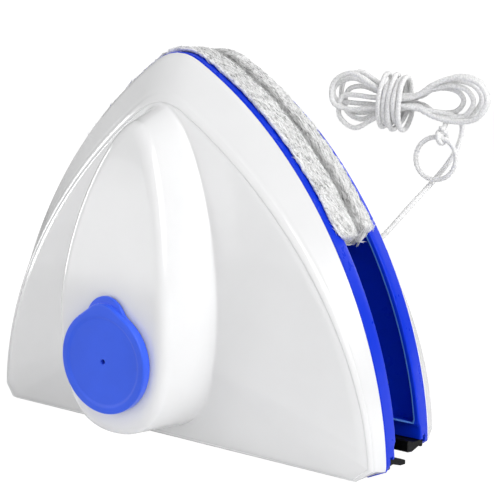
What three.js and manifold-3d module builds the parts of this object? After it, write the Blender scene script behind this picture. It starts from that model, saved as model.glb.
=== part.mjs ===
// Double-sided magnetic glass cleaner: two arched halves that grip a window pane between them.
// Millimetres, +Z up. X runs along the straight lower edge, Y through the glass, and the origin is
// the middle of the glass plane at the level that the cleaner stands on. The inner half, worked by
// hand, is on the -Y side. The outer half, which carries the safety cord, is on the +Y side.
import * as THREE from "three";
import { mergeVertices } from "three/addons/utils/BufferGeometryUtils.js";
import Module from "manifold-3d";

const wasm = await Module();
wasm.setup();

// ---------------------------------------------------------------- driving dimensions
// SEAM is the arch where shell meets tray, and CREASE is the arch at the front edge of the shell's wall.
const SEAM = { halfWidth: 88, lift: 38.9, shoulder: 64.9, drop: 34.9, height: 145.2 };
const CREASE = { halfWidth: 85.1, lift: 40, shoulder: 58.1, drop: 35.7, height: 128.8 };
const CORNER = 6; // rounding of the lower corners
const LIP_CORNER = 12; // the same corners on the tray's inner lip
const CROWN = 10; // half width of the rounding at the apex
const GAP = 0.3; // assembly gap between pieces that sit together
const WIDE = 200; // width of a cutting block that passes right through

const RIM = 9.7; // depth of the tray's rim, measured from the glass plane
const LOW_RIM = 11; // the rim is lower beside the squeegee
const FLOOR = 13.9; // tray floor under the pad
const FLOOR_BACK = 15.6; // back of the tray floor
const JOINT_PLANE = 17.3; // tray meets shell
const TRAY_WALL = 2.2;
const LIP_WALL = 1.6; // the tray's lip stands inside the shell and centres it
const LIP_RISE = 2.3;
const LIP_GAP = 0.7; // between the lip and the shell's wall
const HOLDER_TOP = 12.5; // height of the block that holds the squeegee
const BOTTOM_LEAN = { near: 9, rise: 4.6 }; // the tray's bottom rises from the joint plane to the glass

// Each half's crease depth at the bottom, and how far its face swells from the crease to its middle.
const FORMS = { inner: { crease: 23.4, rise: 8 }, outer: { crease: 28.3, rise: 4 } };
const CREASE_LEAN = 0.03; // the crease stands this much further out per millimetre of height
const FACE_MIDDLE = new THREE.Vector2(0, 48);
const FACE_SHARES = [0, 0.12, 0.3, 0.55, 0.8]; // the way from the crease to the middle, ring by ring
const HOLLOW_SHARES = [0, 0.25, 0.8];
const SHELL_WALL = 2.2;

const HANDLE_ROOT = 23; // depth inside the shell where the handle's wall starts
const CAVITY_ROOT = 19.5; // the handle's hollow runs this far into the shell
const HANDLE_TOP = 56; // flat front of the handle
const HANDLE_FOOT = { halfWidth: 29.5, bottom: 5, top: 125.5, waist: 50, belly: 18, hip: 20, neck: 85, nose: 13 };
const HANDLE_FRONT = { halfWidth: 24, bottom: 10, top: 118, waist: 48, belly: 15, hip: 20, neck: 78, nose: 11 };
const HANDLE_EDGE = 4; // rounding between the handle's wall and its front
const HANDLE_DRAFT = 0.92; // how far the wall has closed in from foot to front where the rounding starts
const EDGE_TURN = 0.3; // share of the rounding left at its middle ring
const SLOPE_START = 55; // above this height the front leans back
const SLOPE_RUN = 50;
const SLOPE_FALL = 8.8;
const SLOPE_POWER = 1.6;

const CAP = { radius: 18.3, height: 36.8, thickness: 3.5, plug: 13.5, bore: 14.4, vent: 0.9, depth: 6.8 };
const CAP_GROOVE = { depth: 1.4, low: 1.9, high: 4.3 }; // seat of the seal, measured from the plug's end
const SEAL = { radius: 13.35, tube: 0.95 };
const CAP_TAB = { halfWidth: 7.8, reach: 22.6, flare: 4.2, root: 5.5, waist: 2 };
const NECK = { wall: 2, near: 9, far: 1 }; // collar round the filler hole, measured from the handle's front

const PAD = { bottom: 77, corner: 13, face: 0.2, back: 9.4, overhang: 2, plug: 12.7, plugInset: 2.8 };
const HOOK_SHEET = { near: 13, far: 13.6, inset: 4.2 };
const BLADE = { halfLength: 87, tip: 0.3, neckLow: 4.2, neckHigh: 6.2 };
const BLADE_HEAD = { near: 13, far: 14.4, low: 3.4, high: 7.4 };
// The inner lip hangs down to the glass, and the outer lip is bent straight out.
const BLADE_TIPS = { inner: { low: 0.9, high: 2.2 }, outer: { low: 3.9, high: 5.4 } };

const MAGNET = { x: 28, z: 47, width: 44, height: 26, near: 15.9, far: 23.9 };
const YOKE = { width: 100, near: 24.2, far: 25.7 };
const TANK_FLOOR = { near: 33, far: 35.5, inset: 2.6 };
const GASKET = { near: 33.3, far: 35.2, outer: 0.4, inner: 2.2 };
const WICK = { x: 7, z: 100, radius: 1.3, bore: 1.6, near: 13, far: 31 };
const SPIGOT = { radius: 3, near: 18 };
const SCREW = { head: 2.7, headHeight: 1.7, shank: 1.3, length: 8.8, seat: 14.2 };
const SCREW_PLACES = {
  top: [0, 122],
  upper_left: [-38, 90],
  upper_right: [38, 90],
  lower_left: [-70, 24],
  lower_right: [70, 24],
};
const POST = { tray: 4.2, trayEnd: 18.6, shell: 3.6, shellStart: 18.9, shellEnd: 36, pilot: 1.6, pilotEnd: 23.4 };

const LUG = { x: 52, z: 71, depth: 35.6, radius: 4.7, hole: 2.1, thickness: 3, stem: 5 };
const LUG_FLANGE = { size: 8, near: 25, far: 27.1 };
const CORD = 1; // cord radius
const KNOT = { end: 2.6, tie: 1.8 }; // radii of the knot behind the lug and the knot above the ring
const RING = { radius: 8.2, tube: 0.9, x: 72, y: 52, z: 104 };

// ---------------------------------------------------------------- materials
function material(color, roughness, metalness = 0) {
  return new THREE.MeshStandardMaterial({ color, roughness, metalness });
}

const WHITE_SHELL = material(0xf4f4f2, 0.22);
const BLUE_TRAY = material(0x1538dc, 0.35);
const BLUE_CAP = material(0x3b5fe0, 0.55);
const PAD_FABRIC = material(0xe9e8e4, 0.95);
const HOOK_FABRIC = material(0xd8d8d8, 0.9);
const BLACK_RUBBER = material(0x101010, 0.6);
const TANK_PLASTIC = material(0xe8e8e6, 0.5);
const SILICONE = material(0xb9bcc0, 0.6);
const FELT = material(0xd9d4c8, 1);
const NICKEL = material(0xb8babd, 0.25, 1);
const STEEL = material(0x8f9296, 0.4, 1);
const CORD_WHITE = material(0xf0f0ee, 0.85);

// ---------------------------------------------------------------- solids
function solidOf(geometry) {
  const bare = geometry.clone();
  bare.deleteAttribute("normal");
  bare.deleteAttribute("uv");
  const merged = mergeVertices(bare, 1e-4);
  return new wasm.Manifold(
    new wasm.Mesh({
      numProp: 3,
      vertProperties: merged.attributes.position.array,
      triVerts: new Uint32Array(merged.index.array),
    }),
  );
}

function geometryOf(solid) {
  const mesh = solid.getMesh();
  const geometry = new THREE.BufferGeometry();
  geometry.setAttribute("position", new THREE.BufferAttribute(mesh.vertProperties, 3));
  geometry.setIndex(new THREE.BufferAttribute(mesh.triVerts, 1));
  geometry.computeVertexNormals();
  return geometry;
}

const unite = (...solids) => solids.reduce((a, b) => a.add(b));
const cut = (solid, ...tools) => tools.reduce((a, b) => a.subtract(b), solid);

function named(name, solid, look) {
  const mesh = new THREE.Mesh(geometryOf(solid), look);
  mesh.name = name;
  return mesh;
}

// A round bar along the depth axis.
function bar(radius, near, far, x, z, sides = 16) {
  const geometry = new THREE.CylinderGeometry(radius, radius, far - near, sides);
  return solidOf(geometry.translate(x, (near + far) / 2, z));
}

function block(width, near, far, low, high, x = 0) {
  const geometry = new THREE.BoxGeometry(width, far - near, high - low);
  return solidOf(geometry.translate(x, (near + far) / 2, (low + high) / 2));
}

// A closed skin through rings of equal point count, ordered by rising depth.
function loft(rings) {
  const count = rings[0].length;
  const points = rings.flat();
  const faces = [];
  for (let k = 0; k + 1 < rings.length; k++) {
    for (let i = 0; i < count; i++) {
      const a = k * count + i;
      const b = k * count + ((i + 1) % count);
      faces.push(a, a + count, b, b, a + count, b + count);
    }
  }
  const flat = (ring) => ring.map((p) => new THREE.Vector2(p.x, p.z));
  const last = points.length - count;
  for (const [a, b, c] of THREE.ShapeUtils.triangulateShape(flat(rings[0]), [])) faces.push(a, b, c);
  for (const [a, b, c] of THREE.ShapeUtils.triangulateShape(flat(rings.at(-1)), [])) {
    faces.push(last + a, last + c, last + b);
  }
  const geometry = new THREE.BufferGeometry().setFromPoints(points);
  geometry.setIndex(faces);
  return solidOf(geometry);
}

const ringAt = (outline, depth) =>
  outline.map((p) => new THREE.Vector3(p.x, typeof depth === "function" ? depth(p.y) : depth, p.y));
const slab = (outline, near, far) => loft([ringAt(outline, near), ringAt(outline, far)]);

// ---------------------------------------------------------------- outlines, as Vector2(x, z), counter-clockwise
const FLOOR_STEPS = 2;
const CORNER_STEPS = 3;
const SIDE_STEPS = 10;
const CROWN_STEPS = 3;

// The curve parameter where a coordinate reaches a value. z rises and x falls along the side.
function parameterAt(curve, coordinate, value) {
  let low = 0;
  let high = 1;
  const rising = coordinate === "y";
  for (let i = 0; i < 40; i++) {
    const middle = (low + high) / 2;
    const below = curve.getPoint(middle)[coordinate] < value;
    if (below === rising) low = middle;
    else high = middle;
  }
  return low;
}

function sideCurve({ halfWidth, lift, shoulder, drop, height }) {
  return new THREE.CubicBezierCurve(
    new THREE.Vector2(halfWidth, 0),
    new THREE.Vector2(halfWidth, lift),
    new THREE.Vector2(shoulder, height - drop),
    new THREE.Vector2(0, height),
  );
}

const mirrored = (right) => [
  ...right,
  ...right
    .slice(1, -1)
    .reverse()
    .map((p) => new THREE.Vector2(-p.x, p.y)),
];

function archOutline(shape, bottom = 0, corner = CORNER) {
  const side = sideCurve(shape);
  const base = side.getPoint(parameterAt(side, "y", bottom));
  const from = parameterAt(side, "y", bottom + corner);
  const to = parameterAt(side, "x", CROWN);
  const floorEnd = new THREE.Vector2(base.x - corner, bottom);
  const crownStart = side.getPoint(to);
  const slope = side.getTangent(to);
  const control = crownStart.clone().addScaledVector(slope, -CROWN / 2 / slope.x);
  const lines = [
    [new THREE.LineCurve(new THREE.Vector2(0, bottom), floorEnd), FLOOR_STEPS],
    [new THREE.QuadraticBezierCurve(floorEnd, base, side.getPoint(from)), CORNER_STEPS],
    [{ getPoint: (t) => side.getPoint(from + (to - from) * t) }, SIDE_STEPS],
    [new THREE.QuadraticBezierCurve(crownStart, control, new THREE.Vector2(0, control.y)), CROWN_STEPS],
  ];
  const samples = ([line, steps]) => Array.from({ length: steps }, (_, i) => line.getPoint(i / steps));
  const right = lines.flatMap(samples);
  right.push(new THREE.Vector2(0, control.y));
  return mirrored(right);
}

// Moves every point of a counter-clockwise outline inwards.
function inset(outline, amount) {
  return outline.map((p, i) => {
    const before = outline.at(i - 1);
    const after = outline[(i + 1) % outline.length];
    const along = after.clone().sub(before).normalize();
    return new THREE.Vector2(p.x - along.y * amount, p.y + along.x * amount);
  });
}

const between = (a, b, share) => a.map((p, i) => p.clone().lerp(b[i], share));
const seam = archOutline(SEAM);
const crease = archOutline(CREASE);
// The inside of the side wall at a depth between seam and crease, with rounder corners for the tray's lip.
function lipAt(depth) {
  const wallStart = JOINT_PLANE - 1;
  const share = Math.max(0, depth - wallStart) / (FORMS.inner.crease - SHELL_WALL - wallStart);
  return between(archOutline(SEAM, 0, LIP_CORNER), archOutline(CREASE, 0, LIP_CORNER), share);
}

function handleOutline({ halfWidth, bottom, top, waist, belly, hip, neck, nose }) {
  const steps = 6;
  const at = (x, z) => new THREE.Vector2(x, z);
  const side = at(halfWidth, waist);
  const lower = new THREE.CubicBezierCurve(at(0, bottom), at(belly, bottom), at(halfWidth, hip), side);
  const upper = new THREE.CubicBezierCurve(side, at(halfWidth, neck), at(nose, top), at(0, top));
  return mirrored([...lower.getPoints(steps), ...upper.getPoints(steps).slice(1)]);
}

const handleFoot = handleOutline(HANDLE_FOOT);
const handleFront = handleOutline(HANDLE_FRONT);

// Depth of the handle's front face at a height.
function frontDepth(z) {
  const run = Math.max(0, z - SLOPE_START) / SLOPE_RUN;
  return HANDLE_TOP - SLOPE_FALL * run ** SLOPE_POWER;
}

// ---------------------------------------------------------------- shell
function faceRings(form, outline, wall, shares) {
  return shares.map((share) => {
    const swell = form.rise * (1 - (1 - share) ** 2);
    const points = outline.map((p) => p.clone().lerp(FACE_MIDDLE, share));
    return ringAt(points, (z) => form.crease + CREASE_LEAN * z + swell - wall);
  });
}

// The handle as rings that climb the wall and turn over a rounded edge onto the front.
function handleSolid(wall, root) {
  const foot = inset(handleFoot, wall);
  const front = inset(handleFront, wall);
  const climb = (share, back, trim) => {
    const outline = inset(between(foot, front, share), trim);
    return outline.map((p, i) => new THREE.Vector3(p.x, frontDepth(front[i].y) - wall - back, p.y));
  };
  return loft([
    ringAt(foot, root),
    climb(HANDLE_DRAFT, HANDLE_EDGE, 0),
    climb(1, HANDLE_EDGE * EDGE_TURN, HANDLE_EDGE * EDGE_TURN),
    climb(1, 0, HANDLE_EDGE),
  ]);
}

// The inside of the handle's wall where a flat plane cuts it, moved a further amount inwards.
function cavitySlice(depth, amount) {
  const foot = inset(handleFoot, SHELL_WALL);
  const front = inset(handleFront, SHELL_WALL);
  const outline = foot.map((p, i) => {
    const wallEnd = frontDepth(front[i].y) - SHELL_WALL - HANDLE_EDGE;
    return p.clone().lerp(front[i], (HANDLE_DRAFT * (depth - CAVITY_ROOT)) / (wallEnd - CAVITY_ROOT));
  });
  return inset(outline, amount);
}

function shellSolid(form, hasLug) {
  const body = loft([ringAt(seam, JOINT_PLANE + GAP), ...faceRings(form, crease, 0, FACE_SHARES)]);
  const outside = unite(body, handleSolid(0, HANDLE_ROOT));
  const hollow = faceRings(form, inset(crease, SHELL_WALL), SHELL_WALL, HOLLOW_SHARES);
  const innerBody = loft([ringAt(inset(seam, SHELL_WALL), JOINT_PLANE - 1), ...hollow]);
  const cavity = unite(innerBody, handleSolid(SHELL_WALL, CAVITY_ROOT));
  const places = Object.values(SCREW_PLACES);
  const neck = bar(CAP.bore + NECK.wall, HANDLE_TOP - NECK.near, HANDLE_TOP - NECK.far, 0, CAP.height, 24);
  const posts = places.map(([x, z]) => bar(POST.shell, POST.shellStart, HANDLE_TOP, x, z, 10));
  const inside = unite(...posts).intersect(cavity).intersect(block(WIDE, 0, POST.shellEnd, 0, SEAM.height));
  const pilots = places.map(([x, z]) => bar(POST.pilot, JOINT_PLANE, POST.pilotEnd, x, z, 8));
  const filler = bar(CAP.bore, HANDLE_TOP - NECK.near - 1, HANDLE_TOP + 1, 0, CAP.height, 24);
  const shell = cut(unite(cut(outside, cavity), inside, neck), filler, ...pilots);
  if (!hasLug) return shell;
  const half = LUG.stem / 2 + GAP;
  const width = LUG.thickness + 2 * GAP;
  return cut(shell, block(width, JOINT_PLANE, LUG.depth - LUG.hole, LUG.z - half, LUG.z + half, LUG.x));
}

// ---------------------------------------------------------------- tray
// A constant profile of (depth, height) points, run along X.
function along(profile, halfLength) {
  const shape = new THREE.Shape(profile.map(([d, z]) => new THREE.Vector2(d, z)));
  const geometry = new THREE.ExtrudeGeometry(shape, { depth: 2 * halfLength, bevelEnabled: false });
  // The profile's first axis is depth and its second is height, so the run is turned onto the X axis.
  const turn = new THREE.Matrix4().makeBasis(
    new THREE.Vector3(0, 1, 0),
    new THREE.Vector3(0, 0, 1),
    new THREE.Vector3(1, 0, 0),
  );
  return solidOf(geometry.applyMatrix4(turn).translate(-halfLength, 0, 0));
}

function traySolid() {
  const pocket = inset(seam, TRAY_WALL);
  const belowHolder = block(WIDE, 0, JOINT_PLANE + 3, -1, HOLDER_TOP);
  const recess = cut(slab(pocket, RIM - 2, FLOOR), belowHolder);
  const hollow = cut(slab(pocket, FLOOR_BACK, JOINT_PLANE + 2), belowHolder);
  const lowRim = block(WIDE, RIM - 2, LOW_RIM, -1, HOLDER_TOP - 0.5);
  const { near, rise } = BOTTOM_LEAN;
  const lean = along([[near, -1], [JOINT_PLANE, -1], [JOINT_PLANE, 0], [near, rise]], WIDE / 2);
  const body = cut(slab(seam, RIM, JOINT_PLANE), recess, hollow, lowRim, lean);
  const lipEnd = JOINT_PLANE + LIP_RISE;
  const lipInset = SHELL_WALL + LIP_GAP;
  const lip = (amount, ...depths) => loft(depths.map((depth) => ringAt(inset(lipAt(depth), amount), depth)));
  const lipOut = lip(lipInset, FLOOR_BACK - 0.5, lipEnd);
  const lipIn = lip(lipInset + LIP_WALL, FLOOR_BACK, lipEnd + 1);
  const places = Object.values(SCREW_PLACES);
  const posts = places.map(([x, z]) => bar(POST.tray, FLOOR_BACK - 0.5, POST.trayEnd, x, z, 10));
  const seatEnd = SCREW.seat + SCREW.headHeight + GAP;
  const seats = places.map(([x, z]) => bar(SCREW.head + GAP, FLOOR - 1, seatEnd, x, z, 10));
  const holes = places.map(([x, z]) => bar(SCREW.shank + GAP, FLOOR, POST.trayEnd + 1, x, z, 8));
  const drips = [-WICK.x, WICK.x].map((x) => bar(WICK.bore, FLOOR - 1, FLOOR_BACK + 1, x, WICK.z, 12));
  const slot = block(WIDE, LOW_RIM - 1, BLADE_HEAD.near, BLADE.neckLow - GAP, BLADE.neckHigh + GAP);
  const head = BLADE_HEAD;
  const slotHead = block(WIDE, head.near - GAP, head.far + GAP, head.low - GAP, head.high + GAP);
  return cut(unite(body, cut(lipOut, lipIn), ...posts), ...seats, ...holes, ...drips, slot, slotHead);
}

// ---------------------------------------------------------------- soft parts and the squeegee
function padSolid() {
  const grown = inset(archOutline(SEAM, PAD.bottom, PAD.corner), -PAD.overhang);
  const plug = inset(archOutline(SEAM, PAD.bottom + 2, PAD.corner), PAD.plugInset);
  return unite(slab(grown, PAD.face, PAD.back), slab(plug, PAD.back - 1, PAD.plug));
}

function hookSheetSolid() {
  const outline = inset(archOutline(SEAM, PAD.bottom + 3, PAD.corner), HOOK_SHEET.inset);
  const { near, far } = HOOK_SHEET;
  const holes = [-WICK.x, WICK.x].map((x) => bar(WICK.bore + GAP, near - 1, far + 1, x, WICK.z, 12));
  return cut(slab(outline, near, far), ...holes);
}

// A T-shaped root with a lip that reaches to the glass.
function bladeSolid(tip) {
  const { near, far, low, high } = BLADE_HEAD;
  const start = LOW_RIM - GAP;
  return along(
    [
      [BLADE.tip, tip.low],
      [start, BLADE.neckLow],
      [near, BLADE.neckLow],
      [near, low],
      [far, low],
      [far, high],
      [near, high],
      [near, BLADE.neckHigh],
      [start, BLADE.neckHigh],
      [BLADE.tip, tip.high],
    ],
    BLADE.halfLength,
  );
}

// ---------------------------------------------------------------- filler cap
function capSolid() {
  const under = HANDLE_TOP + GAP;
  const top = under + CAP.thickness;
  const end = under - CAP.depth;
  const groove = CAP.plug - CAP_GROOVE.depth;
  const bead = CAP.plug - 2; // the plug is hollow inside this radius
  const edge = 0.8;
  const profile = [
    [CAP.vent, top],
    [CAP.vent, under + 1],
    [bead, under + 1],
    [bead, end],
    [CAP.plug - 0.5, end],
    [CAP.plug, end + 0.5],
    [CAP.plug, end + CAP_GROOVE.low],
    [groove, end + CAP_GROOVE.low],
    [groove, end + CAP_GROOVE.high],
    [CAP.plug, end + CAP_GROOVE.high],
    [CAP.plug, under],
    [CAP.radius, under],
    [CAP.radius, top - edge],
    [CAP.radius - edge, top],
    [CAP.vent, top],
  ].map(([r, d]) => new THREE.Vector2(r, d));
  const disc = solidOf(new THREE.LatheGeometry(profile, 24)).translate(0, 0, CAP.height);
  const { halfWidth, flare } = CAP_TAB;
  const reach = CAP_TAB.reach - halfWidth;
  const root = CAP.radius - CAP_TAB.root;
  const waist = CAP.radius - CAP_TAB.waist;
  const tab = new THREE.Shape();
  tab.moveTo(-halfWidth - flare, root);
  tab.lineTo(halfWidth + flare, root);
  tab.quadraticCurveTo(halfWidth, waist, halfWidth, reach);
  tab.absarc(0, reach, halfWidth, 0, Math.PI, false);
  tab.quadraticCurveTo(-halfWidth, waist, -halfWidth - flare, root);
  const options = { depth: CAP.thickness, bevelEnabled: false, curveSegments: 6 };
  const flat = new THREE.ExtrudeGeometry(tab, options);
  return unite(disc, solidOf(flat.rotateX(Math.PI / 2).translate(0, top, CAP.height)));
}

function capSealSolid() {
  const middle = HANDLE_TOP + GAP - CAP.depth + (CAP_GROOVE.low + CAP_GROOVE.high) / 2;
  const ring = new THREE.TorusGeometry(SEAL.radius, SEAL.tube, 6, 20).rotateX(Math.PI / 2);
  return solidOf(ring.translate(0, middle, CAP.height));
}

// ---------------------------------------------------------------- water tank and magnets
function tankFloorSolid() {
  const plate = slab(cavitySlice(TANK_FLOOR.far, TANK_FLOOR.inset), TANK_FLOOR.near, TANK_FLOOR.far);
  const sides = [-WICK.x, WICK.x];
  const spigots = sides.map((x) => bar(SPIGOT.radius, SPIGOT.near, TANK_FLOOR.near + 1, x, WICK.z, 12));
  const bores = sides.map((x) => bar(WICK.bore, SPIGOT.near - 1, TANK_FLOOR.far + 1, x, WICK.z, 12));
  return cut(unite(plate, ...spigots), ...bores);
}

function gasketSolid() {
  const outer = slab(cavitySlice(GASKET.far, GASKET.outer), GASKET.near, GASKET.far);
  const inner = slab(cavitySlice(GASKET.far, GASKET.inner), GASKET.near - 1, GASKET.far + 1);
  return cut(outer, inner);
}

function magnetSolid(x) {
  const low = MAGNET.z - MAGNET.height / 2;
  return block(MAGNET.width, MAGNET.near, MAGNET.far, low, low + MAGNET.height, x);
}

function yokeSolid() {
  const low = MAGNET.z - MAGNET.height / 2;
  return block(YOKE.width, YOKE.near, YOKE.far, low, low + MAGNET.height);
}

function screwSolid([x, z]) {
  const under = SCREW.seat + SCREW.headHeight;
  const tip = SCREW.seat + SCREW.length;
  const profile = [
    [0, SCREW.seat],
    [SCREW.head, SCREW.seat],
    [SCREW.head, under],
    [SCREW.shank, under],
    [SCREW.shank, tip - 1],
    [0, tip],
  ].map(([r, d]) => new THREE.Vector2(r, d));
  return solidOf(new THREE.LatheGeometry(profile, 8)).translate(x, 0, z);
}

// ---------------------------------------------------------------- one half, in its own frame
function half(side) {
  const group = new THREE.Group();
  group.add(
    named(`${side}_shell`, shellSolid(FORMS[side], side === "outer"), WHITE_SHELL),
    named(`${side}_tray`, traySolid(), BLUE_TRAY),
    named(`${side}_pad`, padSolid(), PAD_FABRIC),
    named(`${side}_pad_hook_sheet`, hookSheetSolid(), HOOK_FABRIC),
    named(`${side}_squeegee_blade`, bladeSolid(BLADE_TIPS[side]), BLACK_RUBBER),
    named(`${side}_filler_cap`, capSolid(), BLUE_CAP),
    named(`${side}_filler_cap_seal`, capSealSolid(), SILICONE),
    named(`${side}_tank_floor`, tankFloorSolid(), TANK_PLASTIC),
    named(`${side}_tank_gasket`, gasketSolid(), SILICONE),
    named(`${side}_wick_left`, bar(WICK.radius, WICK.near, WICK.far, -WICK.x, WICK.z, 10), FELT),
    named(`${side}_wick_right`, bar(WICK.radius, WICK.near, WICK.far, WICK.x, WICK.z, 10), FELT),
    named(`${side}_magnet_left`, magnetSolid(-MAGNET.x), NICKEL),
    named(`${side}_magnet_right`, magnetSolid(MAGNET.x), NICKEL),
    named(`${side}_magnet_yoke`, yokeSolid(), STEEL),
  );
  for (const [place, at] of Object.entries(SCREW_PLACES)) {
    group.add(named(`${side}_screw_${place}`, screwSolid(at), STEEL));
  }
  return group;
}

// ---------------------------------------------------------------- safety cord
// A lug pushed out through the outer shell from inside, where its flange holds it.
function lugSolid() {
  const eye = new THREE.CylinderGeometry(LUG.radius, LUG.radius, LUG.thickness, 16).rotateZ(Math.PI / 2);
  const hole = new THREE.CylinderGeometry(LUG.hole, LUG.hole, LUG.thickness + 2, 14).rotateZ(Math.PI / 2);
  const { size, near, far } = LUG_FLANGE;
  const low = LUG.z - LUG.stem / 2;
  const stem = block(LUG.thickness, near + 1, LUG.depth - LUG.hole - 1, low, low + LUG.stem, LUG.x);
  const flange = block(size, near, far, LUG.z - size / 2, LUG.z + size / 2, LUG.x);
  const at = [LUG.x, LUG.depth, LUG.z];
  return cut(unite(solidOf(eye).translate(at), stem, flange), solidOf(hole).translate(at));
}

const HANK = { middle: 54, height: 125.6, depth: 53, slant: 0.1, layers: 4, pitch: 2.2, waist: 1.3 };
const LOBES = { left: 25, right: 35, tallLeft: 9.5, tallRight: 8 }; // reach and half height
const WRAP = { turns: 3, steps: 8, start: -4, pitch: 2.4, depth: 5.8, height: 9, shift: 0.4 };
const HITCH = { radius: 2.5, steps: 8, pitch: 0.3, start: -1.2, side: 2.2, sink: 0.3 }; // round the ring

// A point on the hank, in its own layer. A shift of 1 is a move to the next layer.
function hankPoint(layer, x, z, shift = 0) {
  const across = (layer + shift - (HANK.layers - 1) / 2) * HANK.pitch;
  return new THREE.Vector3(HANK.middle + x, HANK.depth + HANK.slant * x + across, HANK.height + z);
}

// One turn of the hank: a long loop that the wrap pinches at its waist. Turns differ a little in reach.
function hankTurn(layer) {
  const sway = Math.sin(layer * 2.4);
  const left = LOBES.left + 1.5 * sway;
  const right = LOBES.right - 2 * Math.cos(layer * 1.9) ** 2;
  const tallLeft = LOBES.tallLeft + sway;
  const tallRight = LOBES.tallRight - sway;
  const at = (x, z, shift) => hankPoint(layer, x, z, shift);
  return [
    at(0, -HANK.waist),
    at(-left * 0.45, -tallLeft * 0.8),
    at(-left * 0.85, -tallLeft),
    at(-left, sway),
    at(-left * 0.85, tallLeft),
    at(-left * 0.45, tallLeft * 0.8),
    at(0, HANK.waist),
    at(right * 0.45, tallRight * 0.75),
    at(right * 0.8, tallRight),
    at(right, sway, 0.2),
    at(right * 0.85, -tallRight, 0.6),
    at(right * 0.5, -tallRight * 0.75, 1),
  ];
}

// Turns around the waist of the hank.
function wrapTurns() {
  return Array.from({ length: WRAP.turns * WRAP.steps + 1 }, (_, i) => {
    const turn = i / WRAP.steps;
    const angle = turn * 2 * Math.PI;
    const x = HANK.middle + WRAP.start + turn * WRAP.pitch;
    const y = HANK.depth + WRAP.shift + WRAP.depth * Math.cos(angle);
    return new THREE.Vector3(x, y, HANK.height + WRAP.height * Math.sin(angle));
  });
}

// The cord from the lug up past the ring to the hank's right lobe.
const LEAD = [
  [LUG.x - 4.5, LUG.depth, LUG.z],
  [LUG.x, LUG.depth, LUG.z],
  [LUG.x + 4.6, LUG.depth + 0.6, LUG.z + 2],
  [60, 38.4, 77],
  [65, 44, 85],
  [70, 54.6, 94.6],
  [74.8, 55.6, 101],
  [78.4, 56, 107],
  [79.8, 56.5, 113],
  [78.6, 55.5, 117.5],
  [70, 52.4, 120.3],
  [62, 51, 122.6],
];
const TAIL = [[63, 60, 122.5], [69, 57.4, 120], [73.6, 54, 117.5]]; // from the wrap down to the ring
const RING_TOP = new THREE.Vector3(RING.x + HITCH.side, RING.y, RING.z + RING.radius - HITCH.sink);

function cordPath() {
  const turns = Array.from({ length: HANK.layers }, (_, layer) => hankTurn(layer)).flat();
  const hitch = Array.from({ length: HITCH.steps + 1 }, (_, i) => {
    const angle = Math.PI / 2 + (i / HITCH.steps) * 2 * Math.PI;
    const shift = HITCH.start + HITCH.pitch * i;
    const loop = new THREE.Vector3(shift, HITCH.radius * Math.cos(angle), HITCH.radius * Math.sin(angle));
    return loop.add(RING_TOP);
  });
  const points = (list) => list.map((p) => new THREE.Vector3(...p));
  const path = [...points(LEAD), ...turns, ...wrapTurns(), ...points(TAIL), ...hitch];
  return new THREE.CatmullRomCurve3(path, false, "centripetal");
}

function cordSolid() {
  const section = new THREE.Shape().absarc(0, 0, CORD, 0, 2 * Math.PI, false);
  const path = cordPath();
  const options = { extrudePath: path, steps: 230, curveSegments: 3, bevelEnabled: false };
  const tube = new THREE.ExtrudeGeometry(section, options);
  const knot = new THREE.SphereGeometry(KNOT.end, 8, 6).translate(LUG.x - 4.4, LUG.depth, LUG.z);
  const tie = new THREE.SphereGeometry(KNOT.tie, 8, 6).translate(RING_TOP.x, RING_TOP.y, RING_TOP.z + 3.5);
  return unite(solidOf(tube), solidOf(knot), solidOf(tie));
}

function ringSolid() {
  const ring = new THREE.TorusGeometry(RING.radius, RING.tube, 6, 24).rotateX(Math.PI / 2);
  return solidOf(ring.translate(RING.x, RING.y, RING.z));
}

// ---------------------------------------------------------------- assembly
const cleaner = new THREE.Group();
const inner = half("inner");
inner.rotation.z = Math.PI; // a half is the same from left to right, so half a turn faces it the other way
cleaner.add(inner, half("outer"));
cleaner.add(named("cord_lug", lugSolid(), WHITE_SHELL));
cleaner.add(named("safety_cord", cordSolid(), CORD_WHITE));
cleaner.add(named("finger_ring", ringSolid(), WHITE_SHELL));

export default cleaner;
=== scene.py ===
"""Looks of the double-sided magnetic glass cleaner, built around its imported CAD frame.

Lengths are in millimetres until a mesh is made, and a half is built in its own frame: x along the
straight edge, d away from the glass, z up. The outer half's frame is the row frame, and the inner
half's is the same turned by half a turn about the Z axis.
"""

import math

import bmesh
import bpy
import numpy as np
from mathutils import Matrix, Vector, noise


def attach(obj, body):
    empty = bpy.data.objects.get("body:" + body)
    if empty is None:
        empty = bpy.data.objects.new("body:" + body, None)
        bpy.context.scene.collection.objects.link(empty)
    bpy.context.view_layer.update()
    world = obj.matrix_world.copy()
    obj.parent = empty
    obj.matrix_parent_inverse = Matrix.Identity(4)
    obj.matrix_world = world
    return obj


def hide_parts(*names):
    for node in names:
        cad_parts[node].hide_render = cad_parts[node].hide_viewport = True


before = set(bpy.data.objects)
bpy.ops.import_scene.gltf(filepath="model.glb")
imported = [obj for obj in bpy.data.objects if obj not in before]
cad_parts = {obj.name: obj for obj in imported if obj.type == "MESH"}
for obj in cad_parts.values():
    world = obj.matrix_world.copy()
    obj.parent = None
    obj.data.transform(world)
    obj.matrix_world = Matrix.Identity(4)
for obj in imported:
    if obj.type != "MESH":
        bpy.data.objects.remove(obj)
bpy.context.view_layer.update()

# ------------------------------------------------------------------ dimensions shared with the CAD
MM = 0.001
SEAM = dict(half_width=88, lift=38.9, shoulder=64.9, drop=34.9, height=145.2)
CREASE = dict(half_width=85.1, lift=40, shoulder=58.1, drop=35.7, height=128.8)
CORNER, CROWN = 6, 10
MIDDLE = np.array([0.0, 48.0])  # every ring of a half is laid out around this point
FORMS = {"inner": dict(crease=23.4, rise=8), "outer": dict(crease=28.3, rise=4)}
CREASE_LEAN = 0.03
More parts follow.
